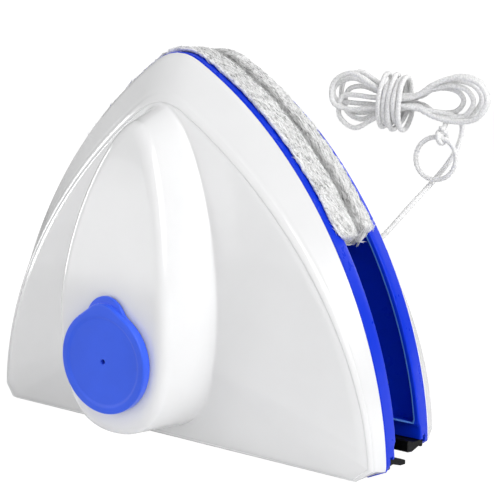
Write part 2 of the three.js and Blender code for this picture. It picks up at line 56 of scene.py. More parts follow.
JOINT_PLANE, GAP, SHELL_WALL = 17.3, 0.3, 2.2
RIM, LOW_RIM, FLOOR, FLOOR_BACK, TRAY_WALL, HOLDER_TOP = 9.7, 11, 13.9, 15.6, 2.2, 12.5
LIP_GAP, LIP_WALL, LIP_RISE = 0.7, 1.6, 2.3
HANDLE_ROOT, HANDLE_TOP, HANDLE_EDGE, HANDLE_DRAFT = 23, 56, 4, 0.92
HANDLE_FOOT = dict(half_width=29.5, bottom=5, top=125.5, waist=50, belly=18, hip=20, neck=85, nose=13)
HANDLE_FRONT = dict(half_width=24, bottom=10, top=118, waist=48, belly=15, hip=20, neck=78, nose=11)
SLOPE_START, SLOPE_RUN, SLOPE_FALL, SLOPE_POWER = 55, 50, 8.8, 1.6
CAP = dict(radius=18.3, height=36.8, thickness=3.5, plug=13.5, bore=14.4, vent=0.9, depth=6.8)
CAP_TAB = dict(half_width=7.8, reach=22.6, flare=4.2)
PAD = dict(bottom=77, corner=13, face=0.2, back=9.4, plug=12.7, plug_inset=2.8)
WICK_X, WICK_Z = 7, 100
SCREWS = {
    "top": (0, 122),
    "upper_left": (-38, 90),
    "upper_right": (38, 90),
    "lower_left": (-70, 24),
    "lower_right": (70, 24),
}
LUG = dict(x=52, z=71, depth=35.6, thickness=3, stem=5)
RING = dict(radius=8.2, tube=0.9, x=72, y=52, z=104)


# ------------------------------------------------------------------ outlines, as arrays of (x, z)
def bezier(points, t):
    a, b, c, d = (np.asarray(p, float) for p in points)
    t = np.atleast_1d(t)[:, None]
    return a * (1 - t) ** 3 + 3 * b * t * (1 - t) ** 2 + 3 * c * t * t * (1 - t) + d * t**3


def quadratic(a, b, c, t):
    t = np.atleast_1d(t)[:, None]
    return a * (1 - t) ** 2 + 2 * b * t * (1 - t) + c * t * t


def arch(shape, bottom=0.0, corner=CORNER):
    """The arched outline, counter-clockwise from the middle of its flat bottom."""
    hw, h = shape["half_width"], shape["height"]
    controls = [(hw, 0), (hw, shape["lift"]), (shape["shoulder"], h - shape["drop"]), (0, h)]
    fine = np.linspace(0, 1, 4001)
    side = bezier(controls, fine)
    base = np.array([np.interp(bottom, side[:, 1], side[:, 0]), bottom])
    t_from = np.interp(bottom + corner, side[:, 1], fine)
    t_to = np.interp(-CROWN, -side[:, 0], fine)
    start, end = bezier(controls, t_from)[0], bezier(controls, t_to)[0]
    slope = bezier(controls, t_to + 1e-3)[0] - end
    control = end - slope * (CROWN / 2 / slope[0])
    floor_end = base - (corner, 0)
    half = np.vstack([
        np.linspace((0, bottom), floor_end, 40, endpoint=False),
        quadratic(floor_end, base, start, np.linspace(0, 1, 40, endpoint=False)),
        bezier(controls, np.linspace(t_from, t_to, 240, endpoint=False)),
        quadratic(end, control, np.array([0, control[1]]), np.linspace(0, 1, 60)),
    ])
    left = half[1:-1][::-1] * (-1, 1)
    return np.vstack([half, left])


def inset(outline, amount):
    along = np.roll(outline, -1, 0) - np.roll(outline, 1, 0)
    along /= np.linalg.norm(along, axis=1)[:, None]
    return outline + np.stack([-along[:, 1], along[:, 0]], 1) * amount


def handle_outline(half_width, bottom, top, waist, belly, hip, neck, nose):
    t = np.linspace(0, 1, 160, endpoint=False)
    lower = bezier([(0, bottom), (belly, bottom), (half_width, hip), (half_width, waist)], t)
    to_top = [(half_width, waist), (half_width, neck), (nose, top), (0, top)]
    upper = bezier(to_top, np.linspace(0, 1, 200))
    half = np.vstack([lower, upper])
    return np.vstack([half, half[1:-1][::-1] * (-1, 1)])


def circle(radius, x, z, count=240):
    a = -math.pi / 2 + np.arange(count) / count * 2 * math.pi
    return np.stack([x + radius * np.cos(a), z + radius * np.sin(a)], 1)


def smooth_step(value, start, end):
    """0 up to the start, 1 from the end on, and an S-shaped rise between them."""
    t = np.clip((value - start) / (end - start), 0, 1)
    return t * t * (3 - 2 * t)


def cross2(a, b):
    return a[..., 0] * b[..., 1] - a[..., 1] * b[..., 0]


def radius_at(outline, angles, centre=MIDDLE):
    """Distance from the centre to a star-shaped outline, along each angle."""
    rel = outline - centre
    around = np.unwrap(np.arctan2(rel[:, 1], rel[:, 0]))
    around = np.append(around, around[0] + 2 * math.pi)
    rel = np.vstack([rel, rel[:1]])
    wanted = around[0] + (angles - around[0]) % (2 * math.pi)
    k = np.clip(np.searchsorted(around, wanted, side="right") - 1, 0, len(outline) - 1)
    edge = rel[k + 1] - rel[k]
    ray = np.stack([np.cos(angles), np.sin(angles)], 1)
    return cross2(rel[k], edge) / cross2(ray, edge)


def ray_angles(outlines, step=1.7, turn=5.0, centre=MIDDLE):
    """Angles that follow the outlines closely: about one per step of length and per turn in degrees."""
    found = []
    for outline in outlines:
        nxt = np.roll(outline, -1, 0)
        length = np.linalg.norm(nxt - outline, axis=1)
        heading = np.unwrap(np.arctan2(*(nxt - outline).T[::-1]))
        bend = np.abs(np.diff(np.append(heading, heading[0] + 2 * math.pi)))
        weight = length / step + np.degrees(np.roll(bend, 1)) / turn
        total = np.append(0, np.cumsum(weight))
        count = int(round(total[-1]))
        at = np.interp(np.arange(count) / count * total[-1], total, np.arange(len(outline) + 1))
        k = at.astype(int) % len(outline)
        points = outline[k] + (nxt - outline)[k] * (at - at.astype(int))[:, None]
        found.append(np.arctan2(*(points - centre).T[::-1]) % (2 * math.pi))
    angles = np.sort(np.concatenate(found))
    keep = np.append(True, np.diff(angles) > 0.004)
    return angles[keep]


# ------------------------------------------------------------------ mesh building
def outward(mesh):
    """A bmesh copy of a mesh, with every face turned to look outwards."""
    bm = bmesh.new()
    bm.from_mesh(mesh)
    bmesh.ops.recalc_face_normals(bm, faces=bm.faces)
    return bm


def mesh_object(name, verts, faces, sharp=35):
    """A piece from points in millimetres; edges that turn by more than sharp degrees stay crisp."""
    mesh = bpy.data.meshes.new(name)
    mesh.from_pydata((verts * MM).tolist(), [], faces)
    bm = outward(mesh)
    bm.to_mesh(mesh)
    bm.free()
    mesh.shade_smooth()
    mesh.set_sharp_from_angle(angle=math.radians(sharp))
    obj = bpy.data.objects.new(name, mesh)
    bpy.context.scene.collection.objects.link(obj)
    return obj


def ring_faces(count, n, closed=False):
    """Quads between successive rings of n points; a closed run joins the last ring to the first."""
    faces = []
    for k in range(count if closed else count - 1):
        a, b = k * n, ((k + 1) % count) * n
        faces += [(a + i, a + (i + 1) % n, b + (i + 1) % n, b + i) for i in range(n)]
    return faces


def looped_rings(rings):
    """Vertices and faces of rings whose last one joins the first."""
    return np.vstack(rings), ring_faces(len(rings), len(rings[0]), closed=True)


def capped_rings(rings):
    """Vertices and faces of rings whose two ends are closed by a fan around their middle."""
    n = len(rings[0])
    faces = ring_faces(len(rings), n)
    first = len(rings) * n
    last = first - n
    faces += [(first, (i + 1) % n, i) for i in range(n)]
    faces += [(first + 1, last + i, last + (i + 1) % n) for i in range(n)]
    middles = [np.mean(rings[0], axis=0), np.mean(rings[-1], axis=0)]
    return np.vstack(rings + [middles]), faces


def stacked(parts):
    """One mesh of several (vertices, faces) pairs."""
    verts, faces, shift = [], [], 0
    for part_verts, part_faces in parts:
        verts.append(part_verts)
        faces += [tuple(i + shift for i in face) for face in part_faces]
        shift += len(part_verts)
    return np.vstack(verts), faces


def round_angles(count):
    return np.arange(count) / count * 2 * math.pi


def round_ring(radius, depth, x, z, angles):
    """A ring around the (x, z) point, facing along the half's depth."""
    x_at, z_at = x + radius * np.cos(angles), z + radius * np.sin(angles)
    return np.stack([x_at, np.full(len(angles), depth), z_at], 1)


def millimetres(mesh, side):
    """The vertices of a mesh, in its half's own frame."""
    at = np.empty(len(mesh.vertices) * 3)
    mesh.vertices.foreach_get("co", at)
    return place(at.reshape(-1, 3) / MM, side)


def place(points, side):
    """From a half's own frame to the row frame."""
    points = np.asarray(points, float)
    return points * (-1, -1, 1) if side == "inner" else points


def polar(radius, depth, angles, centre=MIDDLE):
    x = centre[0] + radius * np.cos(angles)
    z = centre[1] + radius * np.sin(angles)
    return np.stack([x, np.broadcast_to(depth, x.shape), z], 1)


def cut_with(obj, sharp, cutters):
    """Exact boolean differences, applied, so that the piece stays one closed mesh."""
    for cutter in cutters:
        mod = obj.modifiers.new("cut", "BOOLEAN")
        mod.operation, mod.solver, mod.object = "DIFFERENCE", "EXACT", cutter
    graph = bpy.context.evaluated_depsgraph_get()
    mesh = bpy.data.meshes.new_from_object(obj.evaluated_get(graph))
    obj.modifiers.clear()
    old = obj.data
    obj.data = mesh
    mesh.name = obj.name
    bpy.data.meshes.remove(old)
    for cutter in cutters:
        bpy.data.objects.remove(cutter)
    obj.data.set_sharp_from_angle(angle=math.radians(sharp))


def finish_piece(obj, body, slot, node):
    """Gives a piece its look, the body it moves with and the CAD node that it stands for."""
    obj.data.materials.append(LOOKS[slot])
    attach(obj, body)
    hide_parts(node)


# ------------------------------------------------------------------ materials
def shader(name, base, roughness, **inputs):
    """A Principled material; returns it with its nodes, links and shader, for patterns to be added."""
    mat = bpy.data.materials.new(name)
    mat.use_nodes = True
    tree = mat.node_tree
    bsdf = tree.nodes["Principled BSDF"]
    bsdf.inputs["Base Color"].default_value = (*base, 1)
    bsdf.inputs["Roughness"].default_value = roughness
    for key, value in inputs.items():
        bsdf.inputs[key.replace("_", " ")].default_value = value
    return mat, tree, bsdf


def add_node(tree, kind, links=(), **values):
    """A node with its plain input values, and its (input, output socket) links."""
    node = tree.nodes.new(kind)
    for key, value in values.items():
        node.inputs[key.replace("_", " ")].default_value = value
    for key, socket in dict(links).items():
        tree.links.new(socket, node.inputs[key])
    return node


def coordinates(tree, scale=(1, 1, 1)):
    coord = tree.nodes.new("ShaderNodeTexCoord")
    mapping = add_node(tree, "ShaderNodeMapping", {"Vector": coord.outputs["Object"]}, Scale=scale)
    return mapping.outputs["Vector"]


def noise_node(tree, vector, scale, detail=3.0, roughness=0.5):
    values = dict(Scale=scale, Detail=detail, Roughness=roughness)
    return add_node(tree, "ShaderNodeTexNoise", {"Vector": vector}, **values).outputs["Fac"]


def ramp(tree, value, stops):
    node = tree.nodes.new("ShaderNodeValToRGB")
    elements = node.color_ramp.elements
    while len(elements) < len(stops):
        elements.new(0.5)
    for element, (at, colour) in zip(elements, stops):
        element.position = at
        element.color = (*colour, 1)
    tree.links.new(value, node.inputs["Fac"])
    return node.outputs["Color"]


def spread(tree, value, low, high, out_low, out_high):
    """Maps a value from one range to another."""
    node = add_node(tree, "ShaderNodeMapRange", {"Value": value}, From_Min=low, From_Max=high)
    node.inputs["To Min"].default_value = out_low
    node.inputs["To Max"].default_value = out_high
    return node.outputs["Result"]


def uneven_gloss(tree, bsdf, pattern, roughness, least, most):
    """Roughness that follows a noise pattern, between two shares of its plain value."""
    gloss = spread(tree, pattern, 0.3, 0.7, roughness * least, roughness * most)
    tree.links.new(gloss, bsdf.inputs["Roughness"])


def uneven_colour(tree, bsdf, pattern, base, least, most, low_at=0.3, high_at=0.7):
    """Colour that follows a noise pattern, between two shares of the base colour."""
    low, high = (tuple(min(1, c * share) for c in base) for share in (least, most))
    tree.links.new(ramp(tree, pattern, [(low_at, low), (high_at, high)]), bsdf.inputs["Base Color"])


def bump(tree, bsdf, height, strength, distance=0.0001):
    node = add_node(tree, "ShaderNodeBump", {"Height": height}, Strength=strength, Distance=distance)
    tree.links.new(node.outputs["Normal"], bsdf.inputs["Normal"])


def plastic(name, base, roughness, coat, grain, gloss=0.5, cloud=0.02):
    """Moulded plastic: faint colour clouding, uneven gloss and a fine moulded grain."""
    mat, tree, bsdf = shader(name, base, roughness, Coat_Weight=coat, Coat_Roughness=0.06, IOR=1.5)
    bsdf.inputs["Specular IOR Level"].default_value = gloss
    vector = coordinates(tree)
    uneven_colour(tree, bsdf, noise_node(tree, vector, 35), base, 1 - cloud, 1 + cloud)
    uneven_gloss(tree, bsdf, noise_node(tree, vector, 180, 4), roughness, 0.85, 1.2)
    bump(tree, bsdf, noise_node(tree, vector, 2200, 2), grain)
    return mat


def painted_edge_highlight(mat, colour):
    """Lightens a plastic's colour where the mesh's lit_edge values are 1: a painted highlight, a thin
    light line along an edge.
    """
    tree = mat.node_tree
    lit = tree.nodes.new("ShaderNodeAttribute")
    lit.attribute_name = "lit_edge"
    target = tree.nodes["Principled BSDF"].inputs["Base Color"]
    mix = tree.nodes.new("ShaderNodeMix")
    mix.data_type = "RGBA"
    mix.inputs["B"].default_value = (*colour, 1)
    tree.links.new(lit.outputs["Fac"], mix.inputs["Factor"])
    tree.links.new(target.links[0].from_socket, mix.inputs["A"])
    tree.links.new(mix.outputs["Result"], target)
    return mat


def silicone(name, base, roughness, sheen=0.15, gloss=0.5):
    """Moulded rubber: faint clouding, dusty gloss and a fine grain."""
    mat, tree, bsdf = shader(name, base, roughness, IOR=1.42, Sheen_Weight=sheen, Sheen_Roughness=0.4)
    bsdf.inputs["Specular IOR Level"].default_value = gloss
    vector = coordinates(tree)
    uneven_colour(tree, bsdf, noise_node(tree, vector, 60), base, 0.95, 1.05)
    uneven_gloss(tree, bsdf, noise_node(tree, vector, 900), roughness, 0.9, 1.12)
    bump(tree, bsdf, noise_node(tree, vector, 3200, 2), 0.12)
    return mat


def multiplied(tree, a, b):
    node = tree.nodes.new("ShaderNodeMix")
    node.data_type = "RGBA"
    node.blend_type = "MULTIPLY"
    node.inputs["Factor"].default_value = 1
    tree.links.new(a, node.inputs["A"])
    tree.links.new(b, node.inputs["B"])
    return node.outputs["Result"]


def greys(*stops):
    """Stops of a ramp, from (position, grey level) pairs."""
    return [(at, (level, level, level)) for at, level in stops]


def fleece(name):
    """White microfibre: fine grey streaks along the pile, and painted shade that greys it near the glass
    plane, in the valley where the two pads meet.
    """
    mat, tree, bsdf = shader(name, (0.9, 0.9, 0.9), 0.95, Sheen_Weight=0.3, Sheen_Roughness=0.5)
    uv = tree.nodes.new("ShaderNodeUVMap")
    uv.uv_map = "fibres"
    stretch = add_node(tree, "ShaderNodeMapping", {"Vector": uv.outputs["UV"]}, Scale=(0.2, 1.7, 1))
    streak = noise_node(tree, stretch.outputs["Vector"], 1.0, 5, 0.7)
    strands = ramp(tree, streak, greys((0.36, 0.28), (0.44, 0.72), (0.52, 1)))
    vector = coordinates(tree)
    specks = ramp(tree, noise_node(tree, vector, 1300), [(0.3, (0.9, 0.895, 0.88)), (0.45, (1, 1, 1))])
    apart = add_node(tree, "ShaderNodeSeparateXYZ", {"Vector": vector})
    # painted shade: darkest at the glass plane, fading out about 7 mm towards +Y, in the valley between
    # the two pads
    depth = spread(tree, apart.outputs["Y"], -0.002, 0.009, 0, 1)
    valley_shade = ramp(tree, depth, greys((0, 1), (0.16, 0.46), (0.5, 0.56), (0.8, 1)))
    colour = multiplied(tree, multiplied(tree, strands, specks), valley_shade)
    tree.links.new(colour, bsdf.inputs["Base Color"])
    bump(tree, bsdf, streak, 0.8, 0.0004)
    return mat


def braid_look(name, base):
    """Braided polyester: fine darker threads."""
    mat, tree, bsdf = shader(name, base, 0.7, Sheen_Weight=0.3, Sheen_Roughness=0.4)
    threads = noise_node(tree, coordinates(tree), 1600)
    uneven_colour(tree, bsdf, threads, base, 0.8, 1, 0.35, 0.6)
    bump(tree, bsdf, threads, 0.4)
    return mat


def metal(name, base, roughness, stretch):
    """Plated steel with a grain drawn out along X."""
    mat, tree, bsdf = shader(name, base, roughness, Metallic=1.0)
    grain = noise_node(tree, coordinates(tree, (1, stretch, stretch)), 300, 4)
    uneven_colour(tree, bsdf, grain, base, 0.85, 1.08)
    uneven_gloss(tree, bsdf, grain, roughness, 0.8, 1.3)
    bump(tree, bsdf, grain, 0.1)
    return mat


def felt_look(name, base, scale):
    """Felt or hook tape: dark fuzz at a given fineness."""
    mat, tree, bsdf = shader(name, base, 0.95, Sheen_Weight=0.3)
    fuzz = noise_node(tree, coordinates(tree), scale, 4)
    uneven_colour(tree, bsdf, fuzz, base, 0.65, 1, 0.35, 0.65)
    bump(tree, bsdf, fuzz, 0.5)
    return mat


# The last colour here is a light blue painted on the trays' recess edges as a highlight line.
WHITE, CORD_WHITE, HIGHLIGHT_BLUE = (0.86, 0.862, 0.868), (0.93, 0.93, 0.93), (0.16, 0.42, 1.0)
LOOKS = {
    "white_shell": plastic("white_shell", WHITE, 0.2, 0.7, 0.03),
    "blue_tray": painted_edge_highlight(plastic("blue_tray", (0.002, 0.036, 0.7), 0.3, 0.04, 0.12, 0.14), HIGHLIGHT_BLUE),
    "blue_cap": silicone("blue_cap", (0.035, 0.12, 0.88), 0.36),
    "microfibre": fleece("microfibre"),
    "hook_tape": felt_look("hook_tape", (0.7, 0.7, 0.7), 1500),
    "black_rubber": silicone("black_rubber", (0.0015, 0.0015, 0.0018), 0.55, 0.0, 0.2),
    "grey_silicone": silicone("grey_silicone", (0.42, 0.43, 0.45), 0.5),
    "tank_plastic": plastic("tank_plastic", (0.78, 0.78, 0.77), 0.45, 0.1, 0.2),
    "felt": felt_look("felt", (0.66, 0.61, 0.5), 1100),
    "nickel": metal("nickel", (0.68, 0.68, 0.66), 0.22, 1),
    "zinc_steel": metal("zinc_steel", (0.52, 0.53, 0.54), 0.34, 12),
    "cord": braid_look("cord", CORD_WHITE),
    "ring": braid_look("ring", CORD_WHITE),
}


# ------------------------------------------------------------------ shell
BEAD, BEAD_GROOVE = 1.0, 0.22  # the crease's rolled bead, and the depth of the fine grooves beside it
GROOVE_MIDDLE, GROOVE_END = 0.35, 0.8  # distances from the bead
FOOT_FILLET = 1.0  # where the handle's wall leaves the face
# A faint ridge sinks from the handle's foot to each lower corner
HIP = dict(ridge=0.4, spread=13, foot=30, height=30.5, slope=0.43, bend=10)
HIP_FADE_IN, HIP_FADE_OUT = (22, 34), (76, 86)
HOLE_EDGE, NECK = 0.5, dict(depth=9, wall=2, edge=0.4)  # the filler hole and its tube


def height_at(radius, angles):
    return MIDDLE[1] + radius * np.sin(angles)


def front_depth(z):
    """Depth of the handle's front, which falls away towards the top."""
    return HANDLE_TOP - SLOPE_FALL * (np.maximum(0, z - SLOPE_START) / SLOPE_RUN) ** SLOPE_POWER


def hip_ridge(x, z):
    """Extra depth along the ridge's line."""
    out, bend = np.abs(x), HIP["bend"]
    line = HIP["height"] - HIP["slope"] * (np.sqrt((out - HIP["foot"]) ** 2 + bend**2) - bend)
    near = np.clip(1 - np.abs(z - line) / HIP["spread"], 0, 1)
    fade = np.interp(out, HIP_FADE_IN, (0, 1)) * np.interp(out, HIP_FADE_OUT, (1, 0))
    return HIP["ridge"] * near**2 * fade


def face_depth(form, radius, edge_radius, angles):
    """Depth of the shell's face where it is a given distance from the middle."""
    x, z = MIDDLE[0] + radius * np.cos(angles), height_at(radius, angles)
    swell = form["rise"] * (1 - (radius / edge_radius) ** 2)
    return form["crease"] + CREASE_LEAN * z + swell + hip_ridge(x, z)


def blend_rings(start, control, end, steps):
    """Rings that turn a rounded edge from one ring to another around a control ring."""
    shares = np.linspace(0, 1, steps)
    return [start * (1 - t) ** 2 + 2 * control * t * (1 - t) + end * t * t for t in shares]


def straight_rings(start, end, steps):
    return [start + (end - start) * t for t in np.linspace(0, 1, steps + 1)[1:-1]]


def hole_radius(wider, angles):
    """Reach of a circle around the filler hole that is wider than it by an amount."""
    return radius_at(circle(CAP["bore"] + wider, 0, CAP["height"]), angles)


def wall_meets_face(on_wall, face_at, angles):
    """Share of the handle's wall that lies below the face, found by halving."""
    low, high = np.zeros_like(angles), np.ones_like(angles)
    for _ in range(30):
        t = (low + high) / 2
        radius, depth = on_wall(t)
        inside = face_at(radius) > depth
        low, high = np.where(inside, t, low), np.where(inside, high, t)
    return low


def side_wall_rings(seam_ring, seam_lip, crease_ring, on_face, r_crease):
    """From the seam out to the crease, with the rolled bead and its two grooves."""
    per_mm = 1 / np.maximum(crease_ring[:, 1] - seam_ring[:, 1], 1)[:, None]
    down_wall = lambda mm: crease_ring + (seam_ring - crease_ring) * per_mm * mm
    foot = down_wall(BEAD + GROOVE_END)
    groove = down_wall(BEAD + GROOVE_MIDDLE)
    groove[:, [0, 2]] -= (groove[:, [0, 2]] - MIDDLE) * BEAD_GROOVE / 80
    rings = [seam_lip]
    rings += [seam_ring + (foot - seam_ring) * t for t in (0.04, 0.18, 0.4, 0.65, 0.9, 1)]
    rings += [groove] + blend_rings(down_wall(BEAD), crease_ring, on_face(r_crease - BEAD), 8)
    rings.append(on_face(r_crease - BEAD - GROOVE_MIDDLE, BEAD_GROOVE))
    return rings


def shell_inside_rings(form, outlines, r_crease, r_join, wall_end, angles):
    """Through the filler hole, and back along the inside to the seam."""
    seam, crease, foot, front = (radius_at(inset(outline, SHELL_WALL), angles) for outline in outlines)
    at = lambda r, d: polar(r, d, angles)
    bore, outside = hole_radius(0, angles), hole_radius(NECK["wall"], angles)
    end, edge = HANDLE_TOP - NECK["depth"], NECK["edge"]
    rings = [at(bore, end + edge), at(bore + edge, end)]
    rings += [at(outside, end), at(outside, HANDLE_TOP - SHELL_WALL)]
    front_edge = radius_at(inset(outlines[3], SHELL_WALL + HANDLE_EDGE), angles)
    for r in (outside + (front_edge - outside) * s for s in (0.5, 1)):
        rings.append(at(r, front_depth(height_at(r, angles)) - SHELL_WALL))
    rings.append(at(foot + (front - foot) * HANDLE_DRAFT, wall_end - SHELL_WALL))
    join = r_join - SHELL_WALL
    rings.append(at(join, face_depth(form, join, r_crease, angles) - SHELL_WALL - 0.5))
    for r in (join + (crease - join) * s for s in (0.35, 0.7, 1)):
        rings.append(at(r, face_depth(form, r, r_crease, angles) - SHELL_WALL))
    rings.append(at(seam, JOINT_PLANE + GAP))
    return rings


def shell_rings(form):
    outlines = arch(SEAM), arch(CREASE), handle_outline(**HANDLE_FOOT), handle_outline(**HANDLE_FRONT)
    seam, crease, foot, front = outlines
    angles = ray_angles([seam, inset(crease, 2), foot, front], step=1.8)
    r_seam, r_crease, r_foot, r_front = (radius_at(outline, angles) for outline in outlines)
    wall_end = front_depth(height_at(r_front, angles)) - HANDLE_EDGE
    at = lambda r, d: polar(r, d, angles)
    on_front = lambda r: at(r, front_depth(height_at(r, angles)))

    def on_face(radius, lower=0.0):
        return at(radius, face_depth(form, radius, r_crease, angles) - lower)

    def on_wall(t):
        radius = r_foot + (r_front - r_foot) * HANDLE_DRAFT * t
        return radius, HANDLE_ROOT + (wall_end - HANDLE_ROOT) * t

    t_join = wall_meets_face(on_wall, lambda r: face_depth(form, r, r_crease, angles), angles)
    r_join, d_join = on_wall(t_join)
    seam_ring, seam_lip = (at(r_seam - lip, JOINT_PLANE + GAP) for lip in (0, 0.35))
    rings = side_wall_rings(seam_ring, seam_lip, on_face(r_crease), on_face, r_crease)

    # face, from the crease in to the handle's foot
    r_out, r_in = r_crease - BEAD - GROOVE_END, r_join + FOOT_FILLET
    rings += [on_face(r_out + (r_in - r_out) * t) for t in np.linspace(0, 1, 17)[:-1]]
    up = t_join + FOOT_FILLET / (wall_end - HANDLE_ROOT)
    rings += blend_rings(on_face(r_in), at(r_join, d_join), at(*on_wall(up)), 5)

    # handle wall, rounded edge and front, in to the filler hole
    for s in np.linspace(0, 1, 9)[1:-1]:
        rings.append(at(*on_wall(up + (1 - up) * s)))
    r_flat = radius_at(inset(front, HANDLE_EDGE * 1.15), angles)
    rings += blend_rings(at(*on_wall(np.ones_like(angles))), on_front(r_front), on_front(r_flat), 11)
    hole_edge = hole_radius(HOLE_EDGE, angles)
    rings += [on_front(r_flat + (hole_edge - r_flat) * s) for s in (0.12, 0.3, 0.5, 0.7, 0.88, 1)]
    rings.append(at(hole_radius(0, angles), HANDLE_TOP - HOLE_EDGE))
    return rings + shell_inside_rings(form, outlines, r_crease, r_join, wall_end, angles)


def make_shell(side):
    verts, faces = looped_rings(shell_rings(FORMS[side]))
    shell = mesh_object(f"{side}_shell_skin", place(verts, side), faces, 40)
    if side == "outer":
        size = (LUG["thickness"] + 2 * GAP, 20, LUG["stem"] + 2 * GAP)
        cutter = box_object("slot", (LUG["x"], 33, LUG["z"]), size)
        cut_with(shell, 40, [cutter])
    finish_piece(shell, f"{side}_half", "white_shell", f"{side}_shell")


def box_object(name, centre, size):
    corners = [(a, b, c) for a in (-0.5, 0.5) for b in (-0.5, 0.5) for c in (-0.5, 0.5)]
    verts = np.asarray(centre) + np.array(corners) * size
    faces = [(0, 1, 3, 2), (4, 6, 7, 5), (0, 4, 5, 1), (2, 3, 7, 6), (0, 2, 6, 4), (1, 5, 7, 3)]
    return mesh_object(name, verts, faces)


# ------------------------------------------------------------------ tray
CHAMFER = dict(height=4.2, near=9.7, far=17.3, reach=9)  # the bottom edge leans up towards the glass
RIM_STEP = (11.0, 12.2)  # heights between which the low rim over the blade rises to the full rim
RIM_EDGE, RECESS_EDGE, FLOOR_FILLET = 0.7, 0.6, 0.8
SEAT_RADIUS, SCREW_HOLE, DRIP_HOLE = 3.1, 1.6, 1.6
BLADE_SLOT = [
    (10.4, 3.9), (12.7, 3.9), (12.7, 3.1), (14.7, 3.1),
    (14.7, 7.6), (12.7, 7.6), (12.7, 6.5), (10.4, 6.5),
]  # as (d, z)


def raised(points):
    """Lifts the lowest part of a ring, more the closer it is to the glass."""
    out = points.copy()
    lean = np.clip((CHAMFER["far"] - points[:, 1]) / (CHAMFER["far"] - CHAMFER["near"]), 0, 1)
    low = np.clip(1 - points[:, 2] / CHAMFER["reach"], 0, 1)
    out[:, 2] += CHAMFER["height"] * lean * low
    return out


def rim_depth(z):
    return LOW_RIM + (RIM - LOW_RIM) * smooth_step(z, *RIM_STEP)


def recess_outline():
    recess = inset(arch(SEAM), TRAY_WALL)
    recess[:, 1] = np.maximum(recess[:, 1], HOLDER_TOP)
    return recess


def tray_front():
    """Angles, and rings from the seam over the rim and down into the recess."""
    seam, recess = arch(SEAM), recess_outline()
    angles = ray_angles([seam, recess], step=1.8)
    r_seam, r_in = radius_at(seam, angles), radius_at(recess, angles)
    rim_at = lambda r: rim_depth(height_at(r, angles))
    ring = lambda r, d: raised(polar(r, d, angles))

    foot = JOINT_PLANE - 0.3
    out = [polar(r_seam - 0.3, JOINT_PLANE, angles), polar(r_seam, foot, angles)]
    rim_out = rim_at(r_seam)
    out += [ring(r_seam, foot + (rim_out + RIM_EDGE - foot) * s) for s in (0.33, 0.66)]
    r_rim = r_seam - RIM_EDGE
    out += blend_rings(ring(r_seam, rim_out + RIM_EDGE), ring(r_seam, rim_out), ring(r_rim, rim_out), 5)
    span = r_rim - (r_in + RECESS_EDGE)
    for r in (r_rim - span * s for s in (0.1, 0.3, 0.5, 0.7, 0.84, 0.92, 0.96)):
        out.append(ring(r, rim_at(r)))
    d_in = rim_at(r_in + RECESS_EDGE)
    start, end = ring(r_in, d_in + RECESS_EDGE), polar(r_in, FLOOR - FLOOR_FILLET, angles)
    out += blend_rings(ring(r_in + RECESS_EDGE, d_in), ring(r_in, d_in), start, 4)
    out += straight_rings(start, end, 3)
    out += blend_rings(end, polar(r_in, FLOOR, angles), polar(r_in - FLOOR_FILLET, FLOOR, angles), 5)
    out += [polar(r_in * s, FLOOR, angles) for s in (0.75, 0.5, 0.25, 0.05)]
    return angles, out


def mark_recess_edge(tray, side):
    """Vertex values, 1 on the recess's rounded edge, where the tray's material paints a lighter highlight
    line.
    """
    at = millimetres(tray.data, side)
    rel = at[:, [0, 2]] - MIDDLE
    edge = radius_at(recess_outline(), np.arctan2(rel[:, 1], rel[:, 0]))
    beyond, sunk = np.hypot(*rel.T) - edge, at[:, 1] - rim_depth(at[:, 2])
    lit = (beyond > -0.1) & (beyond < RECESS_EDGE + 0.1) & (sunk < RECESS_EDGE + 0.1)
    layer = tray.data.attributes.new("lit_edge", "FLOAT", "POINT")
    layer.data.foreach_set("value", lit.astype(float))


def tray_back(angles, form):
    """The tray's hidden side, from the middle outwards, with the lip that centres it in the shell."""
    walls = (radius_at(inset(arch(shape), SHELL_WALL), angles) for shape in (SEAM, CREASE))
    wall_foot, wall_end = walls
    start = JOINT_PLANE + GAP
    run = form["crease"] + CREASE_LEAN * height_at(wall_end, angles) - SHELL_WALL - start

    def beside_wall(depth, gap):
        share = np.clip((depth - start) / run, 0, 1)
        return wall_foot + (wall_end - wall_foot) * share - gap

    lip_end = JOINT_PLANE + LIP_RISE
    lip_in = beside_wall(lip_end, LIP_GAP + LIP_WALL)
    rings = [polar(lip_in * s, FLOOR_BACK, angles) for s in (0.05, 0.4, 0.75, 1)]
    rings += [polar(lip_in, lip_end - 0.3, angles), polar(lip_in + 0.3, lip_end, angles)]
    rings += [polar(beside_wall(lip_end, LIP_GAP + 0.4), lip_end, angles)]
    rings += [polar(beside_wall(lip_end - 0.5, LIP_GAP), lip_end - 0.5, angles)]
    rings += [polar(beside_wall(JOINT_PLANE, LIP_GAP), JOINT_PLANE, angles)]
    return rings


def drum(name, radius, near, far, x, z, side, count=24):
    rings = [round_ring(radius, d, x, z, round_angles(count)) for d in (near, far)]
    verts, faces = capped_rings(rings)
    return mesh_object(name, place(verts, side), faces)


def extrusion(name, profile, half_length, side, steps=2, shape=lambda x, points: points):
    """A profile of (d, z) run along X. shape(x, points) may bend it on the way."""
    rings = []
    for x in np.linspace(-half_length, half_length, steps):
        rings.append(shape(x, np.array([(x, d, z) for d, z in profile], float)))
    n = len(profile)
    faces = ring_faces(len(rings), n)
    faces.append(tuple(range(n))[::-1])
    faces.append(tuple((len(rings) - 1) * n + i for i in range(n)))
    return mesh_object(name, place(np.vstack(rings), side), faces)


